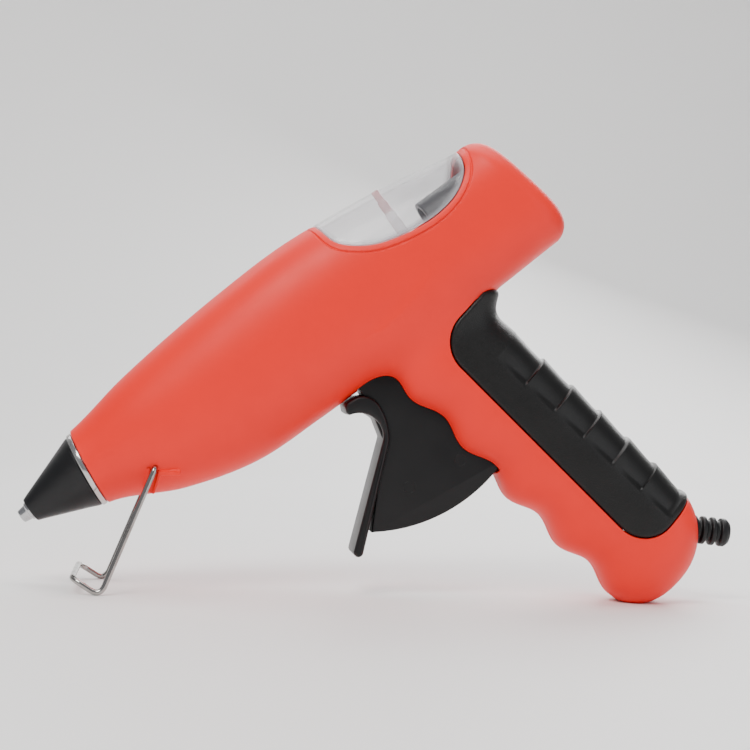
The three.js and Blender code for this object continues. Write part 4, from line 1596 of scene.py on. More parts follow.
@dataclass(frozen=True)
class Openings:
    """Side outlines and round ways that the casing leaves open.

    Args:
        form: The casing's form.
        window_length: Length of the window.
        window_back: From the rear face to the window's back edge.
        pad_top: Top of the grip pad, down the handle.
        pad_bottom: Bottom of the grip pad.
        pad_front: Its front edge, towards the back.
        pad_corner: Radius of its corners.
        slot_half: Half width of the trigger's slot.
        screws: Places of the casing screws on the body, in u and w.
        grip_screws: Places of the casing screws on the handle, down and back.
        head: Radius of a screw's well.
        boot: Where the cord's boot sits, down the handle and back.
        boot_turn: The boot's direction in the gun's axes, in degrees.
        boot_radius: Radius of its hole.
        tube_radius: Radius of the stick's hole in the rear face.
    """

    form: CasingForm = CasingForm()
    window_length: float = 55.0
    window_back: float = 12.6
    pad_top: float = 1.2
    pad_bottom: float = 104.0
    pad_front: float = -1.5
    pad_corner: float = 12.0
    slot_half: float = 8.2
    screws: tuple[Pair, ...] = ((62.0, 13.6), (66.0, -24.4), (118.0, 17.6), (158.0, -26.0), (195.0, -22.0))
    grip_screws: tuple[Pair, ...] = ((60.0, -8.5), (109.0, -9.0))
    head: float = 3.2
    boot: Pair = (109.5, 14.2)
    boot_turn: float = -43.5
    boot_radius: float = 7.2
    tube_radius: float = 8.1

    def window(self) -> Outline:
        """The window's side outline: a long bowl, open at the top.

        Returns:
            The outline.
        """
        back = self.form.body.rear - self.window_back
        front = back - self.window_length
        shares = (0.0, 0.03, 0.18, 0.38, 0.6, 0.79, 0.93, 1.0)
        heights = (21.0, 13.0, 6.0, 2.3, 0.9, 2.6, 7.4, 14.0)
        t = np.linspace(0.0, 1.0, 90)
        bowl = np.stack([front + even_spline(shares, t) * (back - front), even_spline(heights, t)], axis=1)
        return Outline(np.concatenate([[[front, 60.0]], bowl, [[back, 60.0]]]))

    def pad(self) -> Outline:
        """The grip pad's side outline: a straight front edge with round corners, open at the back.

        Returns:
            The outline.
        """
        out, corner = 60.0, self.pad_corner
        upper = arc((self.pad_front + corner, self.pad_top + corner), corner, 270, 180, 16)
        lower = arc((self.pad_front + corner, self.pad_bottom - corner), corner, 180, 90, 16)
        held = np.concatenate([[[out, self.pad_top]], upper, lower, [[out, self.pad_bottom]]])
        return Outline(self.form.handle.place(held[:, 1], held[:, 0]))

    def slot(self) -> Outline:
        """Side outline of the slot that the trigger swings in.

        Returns:
            The outline.
        """
        sweep = arc((0.0, 0.0), 58.9, 262, 321, 30)
        held = np.concatenate([[[-8.2, 4.0], [-8.2, -14.0]], sweep, [[9.0, 4.0]]])
        return Outline(held + np.array(PIVOT))

    def screw_places(self) -> Array:
        """Places of all the casing screws.

        Returns:
            The places in u and w, one row each.
        """
        grip = np.array(self.grip_screws)
        return np.concatenate([np.array(self.screws), self.form.handle.place(grip[:, 0], grip[:, 1])])

    def boot_axes(self) -> tuple[Array, Array]:
        """The middle of the boot's seat, and the boot's direction.

        Returns:
            Both, in u and w.
        """
        return self.form.handle.place(*self.boot)[0], heading(self.boot_turn)

    def fields(self, wells: bool) -> list[Field]:
        """Distance from each opening's edge, positive on the plastic.

        Args:
            wells: Whether this half has the screws' wells.

        Returns:
            One field for each opening, the parting and the front rim.
        """
        body, places = self.form.body, self.screw_places()
        window, pad, slot = self.window(), self.pad(), self.slot()
        seat, turn = self.boot_axes()
        boot_deep, tube_deep = 6.0, 12.0

        def window_edge(points: Array) -> Array:
            """The window's outline and the gap round its cover."""
            return window.distance(points[:, [0, 2]]) - CASING_GAP

        def pad_edge(points: Array) -> Array:
            """The pad's outline and gap, which close where the handle meets the body."""
            side = pad.distance(points[:, [0, 2]]) - CASING_GAP
            return np.maximum(side, STEEP * (PAD_CLEAR - CASING_GAP - body.level(points)))

        def slot_edge(points: Array) -> Array:
            """The slot that the trigger swings in."""
            side = slot.distance(points[:, [0, 2]])
            return np.maximum(side, np.abs(points[:, 1]) - self.slot_half)

        def boot_edge(points: Array) -> Array:
            """A round hole along the boot's direction."""
            held = points[:, [0, 2]] - seat
            along, across = held @ turn, held @ np.array([-turn[1], turn[0]])
            return np.maximum(np.hypot(across, points[:, 1]) - self.boot_radius, -boot_deep - along)

        def tube_edge(points: Array) -> Array:
            """A round hole along the barrel, in the rear face."""
            away = np.hypot(points[:, 1], points[:, 2]) - self.tube_radius
            return np.maximum(away, body.rear - tube_deep - points[:, 0])

        def parting(points: Array) -> Array:
            """The plane between the halves."""
            return np.abs(points[:, 1]) - PARTING

        def well_edge(points: Array) -> Array:
            """Round holes over the screws."""
            away = np.linalg.norm(points[:, None, [0, 2]] - places, axis=2)
            return away.min(axis=1) - self.head

        made = [window_edge, pad_edge, slot_edge, boot_edge, tube_edge, parting, body.past_rim]
        return made + [well_edge] if wells else made


@dataclass(frozen=True)
class StandBracket:
    """Raised angle over the stand's pivot: two arms, each with a channel the wire's leg can lie over."""

    pivot: Pair = (47.1, -12.6)
    face: float = 16.3
    foot: float = 8.0
    corners: tuple[Pair, ...] = (
        (-0.5, 3.4), (3.0, 1.6), (8.4, -3.4), (5.2, -7.2), (0.0, -3.2), (-5.6, -7.2), (-7.6, -3.6),
    )
    arms: tuple[Pair, ...] = ((0.81, -0.59), (-0.77, -0.64))
    channel: float = 1.25
    depth: float = 0.9

    def skin(self) -> Skin:
        """The bracket on the y >= 0 side.

        Each ring is the outline drawn towards the pivot; the face sinks by the channels' depth.

        Returns:
            Its surface.
        """
        outline = eased(self.corners, 0.9, 8, closed=True)
        fine = np.linspace(0, len(outline), 240, endpoint=False)
        closed = np.concatenate([outline, outline[:1]])
        edge = np.stack([np.interp(fine, np.arange(len(closed)), closed[:, k]) for k in (0, 1)], axis=1)
        roll = np.radians(np.linspace(0, 90, 5))
        size = np.concatenate([[1.0], 1 - 0.06 * (1 - np.cos(roll)), np.linspace(0.92, 0.0, 30)])
        high = np.concatenate([[self.foot], self.face - 0.45 * (1 - np.sin(roll)), np.full(30, self.face)])
        grid = np.empty((len(size), len(edge), 3))
        flat = edge[None] * size[:, None, None]
        sink = smooth_step(np.hypot(flat[..., 0], flat[..., 1]), 1.7, 1.3) * 2.6
        for arm in self.arms:
            along = flat @ np.array(arm)
            off = np.abs(flat[..., 0] * arm[1] - flat[..., 1] * arm[0])
            groove = smooth_step(off, self.channel + 0.25, self.channel - 0.25)
            sink = np.maximum(sink, groove * smooth_step(along, -0.4, 0.2) * self.depth)
        grid[..., [0, 2]] = flat + np.array(self.pivot)
        grid[..., 1] = high[:, None] - sink * (high[:, None] > self.foot)
        return Skin.over_grid(grid)


@dataclass
class Casing:
    """The two halves of the casing.

    Args:
        shop: Makes the pieces.
        openings: What the casing leaves open.
        wall: Thickness of the wall.
        edge: Radius of the edges.
        groove: Distance of the groove round the window from its edge, and half the groove's width.
        groove_depth: Depth of the groove.
        lip: How far the window's edge lies below the groove's.
    """

    shop: Workshop
    openings: Openings = Openings()
    wall: float = 2.4
    edge: float = 0.45
    groove: Pair = (2.3, 0.42)
    groove_depth: float = 0.55
    lip: float = 0.28

    def _half(self, skin: Skin, wells: bool) -> tuple[Skin, Array, Array]:
        """Cuts one half open and makes it thick.

        Args:
            skin: The uncut half, y >= 0.
            wells: Whether it has the screws' wells.

        Returns:
            The shell, its normals, and how near each point is to an edge.
        """
        fields = self.openings.fields(wells)
        for opening in fields:
            skin = skin.sliced(opening)
        for opening in fields:
            skin = skin.ringed(opening, [share * self.edge for share in ROLL_SHARES])
        window = fields[0]
        middle, half = self.groove
        skin = skin.ringed(window, [middle + half * share for share in (-1.0, -0.5, 0.0, 0.5, 1.0)])
        near = np.min([opening(skin.points) for opening in fields], axis=0)
        away = window(skin.points)
        channel = np.sqrt(np.clip(1 - ((away - middle) / half) ** 2, 0, 1)) * self.groove_depth
        sunk = rolled(near, self.edge) + channel + self.lip * smooth_step(away, middle - half, 0.0)
        level = self.openings.form.level
        rear = skin.points[:, 0] > self.openings.form.body.rear - 16
        normal = np.where(rear[:, None], skin.normals(), outward(level, skin.points))
        handle = self.openings.form.handle
        butt = handle.read(skin.points)[0] > handle.length - handle.back_end - 2
        normal = np.where(butt[:, None], skin.normals(), normal)
        shell = skin.thickened(self.wall, normal, sunk)
        shell = Skin(self.shop.gun.lifted(shell.points), shell.faces)
        shaded = shell.normals()
        plain = (sunk < 1e-6) & ~butt & ~rear
        shaded[: len(plain)][plain] = normal[plain]
        worn = np.concatenate([smooth_step(near, 3 * self.edge, 0.0), np.zeros(len(near))])
        return shell, shaded, worn

    def _wells(self) -> Skin:
        """Walls and floors of the screws' wells, each topped to the casing's surface."""
        angle = np.linspace(0, 2 * math.pi, 48, endpoint=False)
        ring = np.stack([np.cos(angle), np.sin(angle)], axis=1)
        inner, outer, bore, seat, under = 3.21, 4.0, 1.7, 8.0, 4.0
        made = []
        for place in self.openings.screw_places():
            top = self.openings.form.surface_y(place + ring * self.openings.head) - self.edge
            inside = [(inner, top), (inner, seat), (bore, seat), (bore, under)]
            rows = [*inside, (outer, under), (outer, top), (inner, top)]
            grid = np.empty((len(rows), len(angle), 3))
            for row, (radius, height) in enumerate(rows):
                grid[row, :, [0, 2]] = (place + ring * radius).T
                grid[row, :, 1] = height
            made.append(Skin.over_grid(grid, wrap=True, flip=True))
        return made[0].joined(*made[1:])

    def build(self) -> None:
        """Makes both halves."""
        whole = self.openings.form.half_skin()
        bracket = StandBracket().skin()
        for name, side in (("left", -1), ("right", 1)):
            shell, normal, worn = self._half(whole, wells=side > 0)
            extras = [bracket] + ([self._wells()] if side > 0 else [])
            for extra in extras:
                shell = shell.joined(extra)
                normal = np.concatenate([normal, extra.normals()])
                worn = np.concatenate([worn, np.zeros(len(extra.points))])
            if side < 0:
                shell, normal = shell.mirrored(), normal * [1, -1, 1]
            nodes, marks = [f"{name}_housing"], {"edge": worn}
            self.shop.place(
                f"casing_{name}", shell, Slot.CASING, "casing", nodes, normals=normal, marks=marks
            )


@dataclass
class Cover:
    """The clear window over the stick, with a post that stands beside the stick's way."""

    shop: Workshop
    openings: Openings = Openings()
    wall: float = 1.8
    edge: float = 0.5
    post: Pair = (162.5, -9.8)
    post_rows: tuple[Pair, ...] = (
        (1.6, 2.0), (10.6, 2.0), (11.0, 1.7), (15.0, 1.7), (15.4, 1.3), (19.6, 1.3),
    )

    def build(self) -> None:
        """Makes the cover and its post."""
        outline, body = self.openings.window(), self.openings.form.body

        def inside(points: Array) -> Array:
            """How far inside the window's outline each point is."""
            return -outline.distance(points[:, [0, 2]])

        half = Skin.over_grid(body.half_grid())
        skin = half.joined(half.mirrored()).welded().sliced(inside)
        skin = skin.ringed(inside, [share * self.edge for share in ROLL_SHARES])
        near = inside(skin.points)
        normal = outward(body.level, skin.points)
        shell = skin.thickened(self.wall, normal, rolled(near, self.edge))
        edge = np.concatenate([smooth_step(near, 2.2, 0.0)] * 2)
        post = self._post()
        upper = smooth_step(post.points[:, 2], 10.4, 11.2)
        # The post's upper part carries the painted red reflection of the casing, and more haze.
        marks = {
            "edge": np.concatenate([edge, 0.35 + 0.6 * upper]),
            "blush": np.concatenate([np.zeros(len(edge)), upper]),
        }
        whole = shell.joined(post)
        self.shop.place("feed_window", whole, Slot.CLEAR, "casing", ["window_cover"], marks=marks)

    def _post(self) -> Skin:
        """A stepped round post, turned about its own upright axis."""
        u, y = self.post
        rows = [(self.post_rows[0][0], 0.0), *self.post_rows, (self.post_rows[-1][0], 0.0)]
        angle = np.linspace(0, 2 * math.pi, 32, endpoint=False)
        grid = np.empty((len(rows), len(angle), 3))
        for row, (height, radius) in enumerate(rows):
            grid[row] = np.stack(
                [u + radius * np.cos(angle), y + radius * np.sin(angle), np.full(len(angle), height)], axis=1
            )
        return Skin.over_grid(grid, wrap=True, flip=True)


@dataclass
class GripPad:
    """Soft pad let into the handle's back: proud of it, with stepped ribs and a horn at the top."""

    shop: Workshop
    openings: Openings = Openings()
    wall: float = 3.0
    edge: float = 1.1
    proud: float = 0.3
    ribs: int = 6
    rib_from: float = 20.0
    rib_pitch: float = 13.6
    rib_depth: float = 1.15
    horn: float = 5.2
    rows: int = 320
    columns: int = 110

    def _relief(self, points: Array) -> tuple[Array, Array]:
        """How far the ribs sink, and how far the horn reaches back, at each point."""
        handle = self.openings.form.handle
        down, back = handle.read(points)
        spine = smooth_step(back - 0.045 * down, 7.5, 10.5)
        turn = (down - self.rib_from) / self.rib_pitch
        share = turn - np.floor(turn)
        tooth = smooth_step(share, -0.25, 0.93) * smooth_step(share, 1.0, 0.965)
        ribbed = (turn > 0) & (turn < self.ribs)
        sink = np.where(ribbed, tooth * self.rib_depth, 0.0) * spine
        tip = np.exp(-(((down - 3.2) / 4.6) ** 2)) * smooth_step(back, 9.0, 20.0)
        return sink, tip * self.horn

    def build(self) -> None:
        """Makes the pad."""
        form, outline = self.openings.form, self.openings.pad()

        def inside(points: Array) -> Array:
            """How far inside the pad's outline each point is."""
            return -outline.distance(points[:, [0, 2]])

        def near(points: Array) -> Array:
            """Distance from the pad's edge, also where the body's surface cuts it short."""
            return np.minimum(inside(points), form.body.level(points) - PAD_CLEAR)

        half = CasingForm(handle=HandleForm(rows=self.rows, columns=self.columns)).half_skin()
        skin = half.joined(half.mirrored()).welded().sliced(inside).sliced(form.body.level, PAD_CLEAR)
        skin = skin.ringed(near, [share * self.edge for share in ROLL_SHARES])
        normal = outward(form.level, skin.points)
        sink, reach = self._relief(skin.points)
        moved = skin.points + normal * self.proud
        moved[:, [0, 2]] += reach[:, None] * form.handle.back
        sunk = rolled(near(skin.points), self.edge) + sink
        shell = Skin(moved, skin.faces).thickened(self.wall, normal, sunk)
        marks = {"smooth": np.concatenate([smooth_step(sink, 0.02, 0.2)] * 2)}
        self.shop.place("grip", shell, Slot.GRIP, "casing", ["grip_pad"], sharp=60.0, marks=marks)


# ---- Barrel end, tube, boot and screws ----


@dataclass
class Nozzle:
    """Turned tip, its rubber cover and the bright collar in the casing's rim."""

    shop: Workshop
    form: BodyForm = BodyForm()
    mouth: float = 2.35
    bore: float = 0.9
    spigot: float = 7.4

    def build(self) -> None:
        """Makes the three pieces."""
        bore, mouth, spigot, end = self.bore, self.mouth, self.spigot, 30.0
        inside = [(12.0, bore), (0.4, bore), (0.0, bore + 0.35)]
        lip = [(0.0, mouth - 0.4), (0.35, mouth), (3.0, 2.75)]
        cone = [(3.2, 3.25), (4.6, 3.4), (17.0, 5.2), (21.0, spigot), (end, spigot), (end, bore)]
        tip = turned(eased([*inside, *lip, *cone, inside[0]], 0.25, 4))
        self.shop.place("nozzle_tip", tip, Slot.ALUMINIUM, "casing", ["nozzle"])
        self._cover()
        self._collar()

    def _leant(self, skin: Skin, past: float) -> Skin:
        """Leans a turned skin's points towards the rim's tilt, in full from past on."""
        lean = math.tan(math.radians(self.form.rim_tilt))
        share = smooth_step(skin.points[:, 0], 6.0, past)
        moved = skin.points.copy()
        moved[:, 0] += lean * moved[:, 2] * share
        return Skin(moved, skin.faces)

    def _cover(self) -> None:
        """Makes the rubber cover, whose rear end leans with the rim."""
        end, big = self.form.rim - 2.2, 12.8
        outside = [(4.0, 4.3), (5.4, 4.85), (end - 4.2, big - 1.55), (end - 1.0, big - 0.25), (end, big)]
        inside = [(end, 8.2), (20.6, 7.8), (17.0, 5.5), (4.0, 3.7)]
        skin = self._leant(turned(eased([inside[-1], *outside, *inside], 0.45, 5), 96), end)
        self.shop.place("nozzle_sleeve", skin, Slot.NOZZLE_RUBBER, "casing", ["nozzle_cover"])

    def _collar(self) -> None:
        """Makes the bright band just inside the rim."""
        middle, half = self.form.rim - 1.1, 0.85
        front, back, inner, outer = middle - half, middle + half, 8.7, 13.4
        band = [(front, inner), (front, outer), (back, outer), (back, inner), (front, inner)]
        lean = math.tan(math.radians(self.form.rim_tilt))
        skin = turned(eased(band, 0.3, 5), 96)
        skin.points[:, 0] += lean * skin.points[:, 2]
        self.shop.place("collar", skin, Slot.COLLAR, "casing", ["front_collar"])


@dataclass
class GuideTube:
    """The tube that takes the stick at the rear, cut to the rear face's lean."""

    shop: Workshop
    form: BodyForm = BodyForm()
    bore: float = 6.0
    outer: float = 7.75
    length: float = 34.0

    def build(self) -> None:
        """Makes the tube."""
        start, end = self.form.rear - self.length, self.form.rear + 0.7
        bore, outer = self.bore, self.outer
        wall = [(start, bore), (start, outer), (end, outer), (end, bore), (start, bore)]
        skin = turned(eased(wall, 0.5, 5), 72)
        lean = math.tan(math.radians(self.form.rear_tilt))
        share = smooth_step(skin.points[:, 0], start + 10, end)
        skin.points[:, 0] -= lean * skin.points[:, 2] * share
        self.shop.place("guide_tube", skin, Slot.TUBE, "casing", ["rear_guide_tube"])


@dataclass
class Boot:
    """The cord's strain relief: a flange against the butt, and a ribbed sleeve."""

    shop: Workshop
    openings: Openings = Openings()
    flange: float = 6.9
    flange_depth: float = 2.5
    radius: float = 5.0
    length: float = 16.88
    ribs: int = 4
    cord: float = 2.6

    def build(self) -> None:
        """Makes the boot."""
        start, neck, front, back = -11.6, 4.0, -0.3, self.flange_depth - 0.2
        rows = [(start, self.cord), (start, neck), (front, neck), (front, self.flange)]
        rows += [(back, self.flange), (back, self.radius)]
        groove = self.radius - 1.2
        pitch = (self.length - 3) / self.ribs
        for i in range(self.ribs):
            u = self.flange_depth + pitch * (i + 0.35)
            rows += [(u, self.radius), (u + 0.4, groove), (u + 1.6, groove), (u + 2, self.radius)]
        end = self.flange_depth + self.length
        rows += [(end - 1.4, self.radius), (end, groove), (end, self.cord), (start, self.cord)]
        skin = turned(eased(rows, 0.35, 4), 64)
        seat, turn = self.openings.boot_axes()
        u, y, w = skin.points.T
        across, up = seat[0] + u * turn[0] - w * turn[1], seat[1] + u * turn[1] + w * turn[0]
        skin = Skin(np.stack([across, y, up], axis=1), skin.faces)
        self.shop.place("cord_boot", skin, Slot.BOOT, "casing", ["strain_relief"])


@dataclass
class Screws:
    """Pan-headed casing screws with a cross recess."""

    shop: Workshop
    openings: Openings = Openings()
    head: float = 2.85
    thickness: float = 1.9
    seat: float = 8.3
    shank: float = 1.5
    length: float = 16.0
    arm: Pair = (1.55, 0.36)
    recess: float = 1.1

    def _head(self) -> Skin:
        """A domed disc whose face sinks in a cross: deep where either arm covers it."""
        angle = np.linspace(0, 2 * math.pi, 96, endpoint=False)
        radius = np.concatenate([np.linspace(0, 0.93, 30), [0.98, 1.0]]) * self.head
        flat = radius[:, None, None] * np.stack([np.cos(angle), np.sin(angle)], axis=1)
        reach, wide = self.arm
        sizes = np.abs(flat)
        ends = [smooth_step(sizes[..., k], reach, reach - 0.25) for k in (0, 1)]
        sides = [smooth_step(sizes[..., 1 - k], wide + 0.12, wide - 0.12) for k in (0, 1)]
        cross = np.maximum(ends[0] * sides[0], ends[1] * sides[1])
        dome = self.thickness * (1 - 0.22 * (radius / self.head) ** 2) - rolled(self.head - radius, 0.35)
        grid = np.empty((len(radius) + 3, len(angle), 3))
        grid[:-3, :, [0, 2]] = flat
        grid[:-3, :, 1] = self.seat + dome[:, None] - cross * self.recess
        ring = flat[-1] / self.head
        under = ((self.head, self.seat), (self.shank, self.seat), (0.0, self.seat - self.length))
        for row, (size, height) in enumerate(under, -3):
            grid[row, :, [0, 2]] = (ring * size).T
            grid[row, :, 1] = height
        return Skin.over_grid(grid, wrap=True).facing_out()

    def build(self) -> None:
        """Makes every screw."""
        head = self._head()
        for i, (u, w) in enumerate(self.openings.screw_places(), 1):
            skin = Skin(head.points + [u, 0.0, w], head.faces)
            self.shop.place(f"casing_screw_{i}", skin, Slot.STEEL, "casing", [f"housing_screw_{i}"])


# ---- Trigger and stand ----


@dataclass
class Trigger:
    """The hooked finger blade on its web, with the hub and feed arm inside the casing."""

    shop: Workshop
    blade_half: float = 10.5
    blade_thick: float = 3.4
    low: Pair = (-40.9, -50.4)
    high: Pair = (-10.9, -24.6)
    hollow: Pair = (-17.4, -18.6)
    hollow_radius: float = 8.2
    web_half: float = 7.5
    web_radius: float = 58.2
    hub: float = 5.4
    arm: Pair = (3.39, 13.58)
    marks: tuple[Pair, ...] = ((-13.5, -43.0), (6.5, -46.0))

    def _blade(self) -> Array:
        """Side outline of the blade and its hook, from the pivot."""
        low, high = np.array(self.low), np.array(self.high)
        along = (high - low) / np.linalg.norm(high - low)
        out = np.array([-along[1], along[0]]) * self.blade_thick / 2
        turn = math.degrees(math.atan2(out[1], out[0]))
        parts = [
            arc(self.low, self.blade_thick / 2, turn, turn + 180, 14),
            bend(tuple(high - out), (-5.2, -19.4), (-5.4, -13.0), 12),
            bend((-5.4, -13.0), (-6.2, -7.4), (-11.2, -6.6), 12)[1:],
            eased([(-11.2, -6.6), (-15.0, -6.4), (-16.2, -9.2)], 1.4, 6)[1:],
            arc(self.hollow, self.hollow_radius, 78, -42, 26),
        ]
        return np.concatenate(parts)

    def _web(self) -> Array:
        """Side outline of the web, whose outer edge is round the pivot."""
        start = 180 + math.degrees(math.acos(33.2 / self.web_radius))
        sweep = arc((0.0, 0.0), self.web_radius, start, 290, 40)
        return np.concatenate([[(-7.4, -4.0), (-8.6, -14.0), (-11.5, -25.0)], sweep, [(5.0, -4.0)]])

    def _mark(self, place: Pair, side: int) -> Skin:
        """A faint round ejector mark: a ring that stands just proud of the web's side."""
        angle = np.linspace(0, 2 * math.pi, 40, endpoint=False)
        round_it = np.linspace(0, 2 * math.pi, 10, endpoint=False)
        grid = np.empty((len(angle), len(round_it), 3))
        radius = 2.0 + 0.16 * np.cos(round_it)
        grid[..., 0] = place[0] + np.cos(angle)[:, None] * radius
        grid[..., 2] = place[1] + np.sin(angle)[:, None] * radius
        grid[..., 1] = side * (self.web_half + 0.09 * np.sin(round_it))
        closed = np.concatenate([grid, grid[:1]])
        return Skin.over_grid(closed, wrap=True).facing_out()

    def build(self) -> None:
        """Makes the trigger."""
        circle = arc((0.0, 0.0), self.hub, 0, 350, 36)
        root = np.array([(-3.0, 0.0), (3.0, 0.0)])
        end = np.array([(2.4, 0.0), (1.6, 2.6), (-1.6, 2.6), (-2.4, 0.0)])
        rod = np.concatenate([root, np.array(self.arm) + end])
        skin = prism(self._blade(), -self.blade_half, self.blade_half, 1.3)
        skin = skin.joined(
            prism(self._web(), -self.web_half, self.web_half, 0.5),
            prism(circle, -self.web_half, self.web_half, 0.3),
            prism(rod, -3.0, 3.0, 0.3),
            *[self._mark(place, side) for place in self.marks for side in (-1, 1)],
        )
        skin = Skin(skin.points + [PIVOT[0], 0.0, PIVOT[1]], skin.faces)
        self.shop.place("finger_trigger", skin, Slot.BLACK, "trigger", ["trigger"], sharp=50.0)


@dataclass
class Stand:
    """The bent wire stand: a leg each side, joined by a foot along the table."""

    shop: Workshop
    pivot: Pair = (47.1, -12.6)
    radius: float = 1.0
    pivot_y: float = 17.6
    foot_y: float = 23.93
    reach: float = 16.3
    toe: float = 11.0
    toe_turn: Pair = (-0.35, 0.94)

    def _path(self, drop: float) -> Array:
        """The wire's centre line with its foot a given drop below the pivots."""
        gun = self.shop.gun
        up, forward = np.array([gun.sine, gun.cosine]), np.array([-gun.cosine, gun.sine])
        foot = np.array(self.pivot) - up * drop + forward * self.reach
        toe = foot + np.array(self.toe_turn) * self.toe
        places = (self.pivot, self.pivot, foot, toe)
        across = (self.pivot_y - 6, self.pivot_y, self.foot_y, self.foot_y - 1)
        half = [(u, y, w) for (u, w), y in zip(places, across)]
        corners = np.array(half + [(u, -y, w) for u, y, w in reversed(half)])
        bends = [1.6, 4.0, 4.0, 4.0, 4.0, 1.6]
        made = [corners[0]]
        for i, size in enumerate(bends, 1):
            before, here, after = corners[i - 1 : i + 2]
            enter = here + (before - here) / np.linalg.norm(before - here) * size
            leave = here + (after - here) / np.linalg.norm(after - here) * size
            t = np.linspace(0, 1, 14)[:, None]
            made.extend(enter * (1 - t) ** 2 + here * 2 * t * (1 - t) + leave * t**2)
        return np.array([*made, corners[-1]])

    def build(self) -> None:
        """Lowers the foot until it rests on the table, and makes the wire."""
        drop, steps = 40.0, 12
        for _ in range(steps):
            drop += self.shop.gun.height(self._path(drop)).min() - self.radius
        skin = swept(self._path(drop), self.radius)
        self.shop.place("stand_wire", skin, Slot.WIRE, "stand", ["wire_stand"])


@dataclass
class PivotPin:
    """The trigger's steel pin, whose domed ends stop short of the casing's surface."""

    shop: Workshop
    form: CasingForm = CasingForm()
    radius: float = 1.99
    cover: float = 1.2
    dome: float = 0.5

    def build(self) -> None:
        """Makes the pin."""
        half = self.form.surface_y(arc(PIVOT, self.radius, 0, 345, 24)).min() - self.cover
        turn = np.radians(np.linspace(0, 90, 7))
        end = self.radius - self.dome * (1 - np.cos(turn))
        out = half - self.dome * (1 - np.sin(turn))
        radius = np.concatenate([[0.0], end[::-1], end, [0.0]])
        across = np.concatenate([[-half], -out[::-1], out, [half]])
        angle = np.linspace(0, 2 * math.pi, 40, endpoint=False)
        grid = np.empty((len(radius), len(angle), 3))
        grid[..., 0] = PIVOT[0] + radius[:, None] * np.cos(angle)
        grid[..., 1] = across[:, None]
        grid[..., 2] = PIVOT[1] + radius[:, None] * np.sin(angle)
        skin = Skin.over_grid(grid, wrap=True).facing_out()
        self.shop.place("pivot_pin", skin, Slot.STEEL, "casing", ["trigger_pin"])


# ---- Inner parts, stage and camera ----


@dataclass
class InnerParts:
    """The frame's own inner parts, which keep their shape and get finishes."""

    shop: Workshop

    def build(self) -> None:
        """Dresses every node that no piece stands for."""
        slots = {part["node"]: Slot(part["material_slot"]) for part in frame["record"]["subparts"]}
        for name, node in frame["nodes"].items():
            if node.hide_render:
                continue
            node.data.materials.clear()
            node.data.materials.append(self.shop.finish(slots[name]))
            node.data.polygons.foreach_set("use_smooth", np.ones(len(node.data.polygons), bool))
            node.data.set_sharp_from_angle(angle=math.radians(35))
            LOG.info("%s: dressed", name)


@dataclass(frozen=True)
class Lamp:
    """One soft area light.

    Args:
        name: Its name.
        place: Where it stands, in metres.
        size: Its width and height, in metres.
        power: Its power, in watts.
        colour: Its colour.
    """

    name: str
    place: Colour
    size: Pair
    power: float
    colour: Colour = (1.0, 1.0, 1.0)


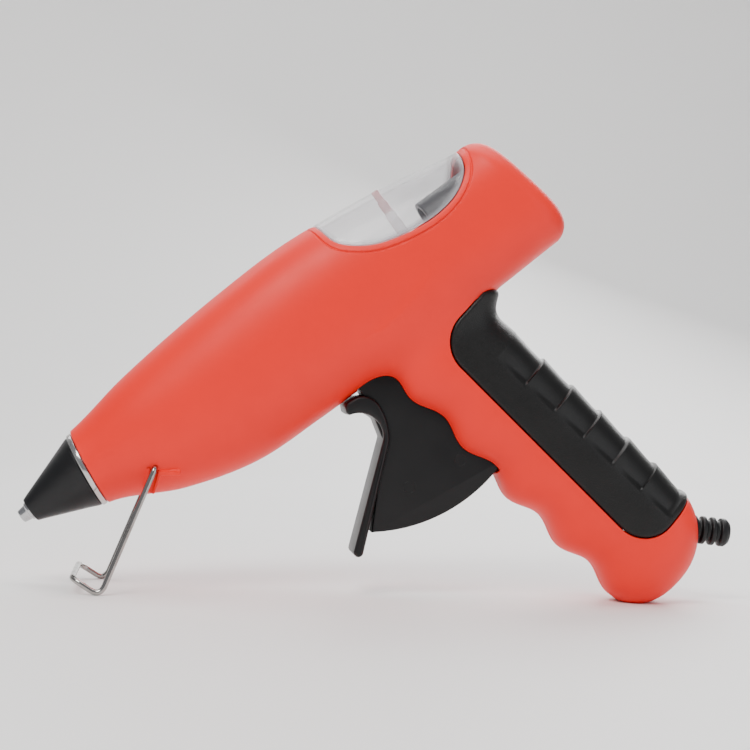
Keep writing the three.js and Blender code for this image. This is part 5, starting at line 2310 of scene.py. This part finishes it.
@dataclass
class Studio:
    """A pale floor that sweeps up into a backdrop, soft lamps, and the camera."""

    aim: Colour = (-0.00404, 0.0, 0.07627)
    distance: float = 0.629
    azimuth: float = 6.5
    roll: float = 2.3
    lens: float = 86.7
    lamps: tuple[Lamp, ...] = (
        Lamp("key", (-0.40, -0.70, 0.90), (0.55, 0.45), 10.5, (1.0, 0.985, 0.96)),
        Lamp("fill", (0.85, -0.70, 0.30), (0.7, 0.7), 2.4, (0.96, 0.98, 1.0)),
        Lamp("top", (0.05, 0.10, 1.0), (0.9, 0.5), 6.0),
        Lamp("rim", (0.40, 0.8, 0.45), (0.6, 0.4), 4.0),
        Lamp("back", (0.0, 0.75, 0.9), (1.6, 0.5), 6.0),
    )

    def _floor(self) -> None:
        """A sheet that lies flat and then turns up behind the object in a quarter circle."""
        radius, turn_from = 0.5, 0.6
        turn = np.radians(np.linspace(0, 90, 24))
        y = np.concatenate([[-3.0], turn_from + radius * np.sin(turn), [turn_from + radius]])
        z = np.concatenate([[0.0], radius * (1 - np.cos(turn)), [4.0]])
        x = np.linspace(-4.0, 4.0, 9)
        points = np.stack(np.broadcast_arrays(x[None], y[:, None], z[:, None]), axis=-1).reshape(-1, 3)
        index = np.arange(len(points)).reshape(len(y), len(x))
        square = [index[:-1, :-1], index[:-1, 1:], index[1:, 1:], index[1:, :-1]]
        quads = np.stack(square, axis=-1).reshape(-1, 4)
        mesh = bpy.data.meshes.new("floor")
        mesh.from_pydata(points.tolist(), [], quads.tolist())
        mesh.polygons.foreach_set("use_smooth", np.ones(len(quads), bool))
        graph = Graph("pale_floor")
        cloud = graph.noise(160.0, 4.0)
        colour = graph.mixed(cloud, (0.88, 0.87, 0.855), (0.92, 0.91, 0.90))
        shader = graph.surface({"Base Color": colour, "Roughness": 0.55 + cloud * 0.1})
        mesh.materials.append(graph.done(shader))
        floor = bpy.data.objects.new("floor", mesh)
        bpy.context.scene.collection.objects.link(floor)
        floor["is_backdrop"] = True

    def _lamp(self, lamp: Lamp) -> None:
        """Hangs one lamp, turned to the object."""
        light = bpy.data.lights.new(lamp.name, "AREA")
        light.shape, light.size, light.size_y = "RECTANGLE", *lamp.size
        light.energy, light.color = lamp.power, lamp.colour
        hung = bpy.data.objects.new(lamp.name, light)
        hung.location = lamp.place
        hung.rotation_euler = (Vector(self.aim) - Vector(lamp.place)).to_track_quat("-Z", "Y").to_euler()
        bpy.context.scene.collection.objects.link(hung)

    def _camera(self) -> None:
        """The camera, level with the object's middle and rolled a little."""
        data = bpy.data.cameras.new("camera")
        data.lens, data.sensor_width = self.lens, 36.0
        data.dof.use_dof = False
        camera = bpy.data.objects.new("camera", data)
        turn, roll = math.radians(self.azimuth), math.radians(self.roll)
        forward = Vector((math.sin(turn), math.cos(turn), 0.0))
        right = Vector((math.cos(turn), -math.sin(turn), 0.0))
        up = Vector((0, 0, 1)) * math.cos(roll) - right * math.sin(roll)
        side = forward.cross(up)
        matrix = Matrix((side, up, -forward)).transposed().to_4x4()
        matrix.translation = Vector(self.aim) - forward * self.distance
        camera.matrix_world = matrix
        bpy.context.scene.collection.objects.link(camera)
        bpy.context.scene.camera = camera

    def build(self) -> None:
        """Makes the floor, the lamps, the sky and the camera."""
        self._floor()
        for lamp in self.lamps:
            self._lamp(lamp)
        world = bpy.data.worlds.new("soft_sky")
        world.use_nodes = True
        background = world.node_tree.nodes["Background"]
        background.inputs["Color"].default_value = (0.93, 0.95, 1.0, 1.0)
        background.inputs["Strength"].default_value = 0.34
        bpy.context.scene.world = world
        self._camera()


def corners() -> list[list[float]]:
    """The shown object's box.

    Returns:
        Its lowest and highest corners.
    """
    return [list(corner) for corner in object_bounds()]


def main() -> None:
    """Builds every sub-assembly in order."""
    logging.basicConfig(level=logging.INFO, format="%(name)s: %(message)s")
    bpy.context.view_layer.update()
    shop = Workshop(GunFrame.from_joints(frame["joints"]))
    for part in (
        Casing(shop),
        Cover(shop),
        GripPad(shop),
        Nozzle(shop),
        GuideTube(shop),
        Boot(shop),
        Screws(shop),
        Trigger(shop),
        Stand(shop),
        PivotPin(shop),
        InnerParts(shop),
        Studio(),
    ):
        part.build()


if __name__ == "__main__":
    main()
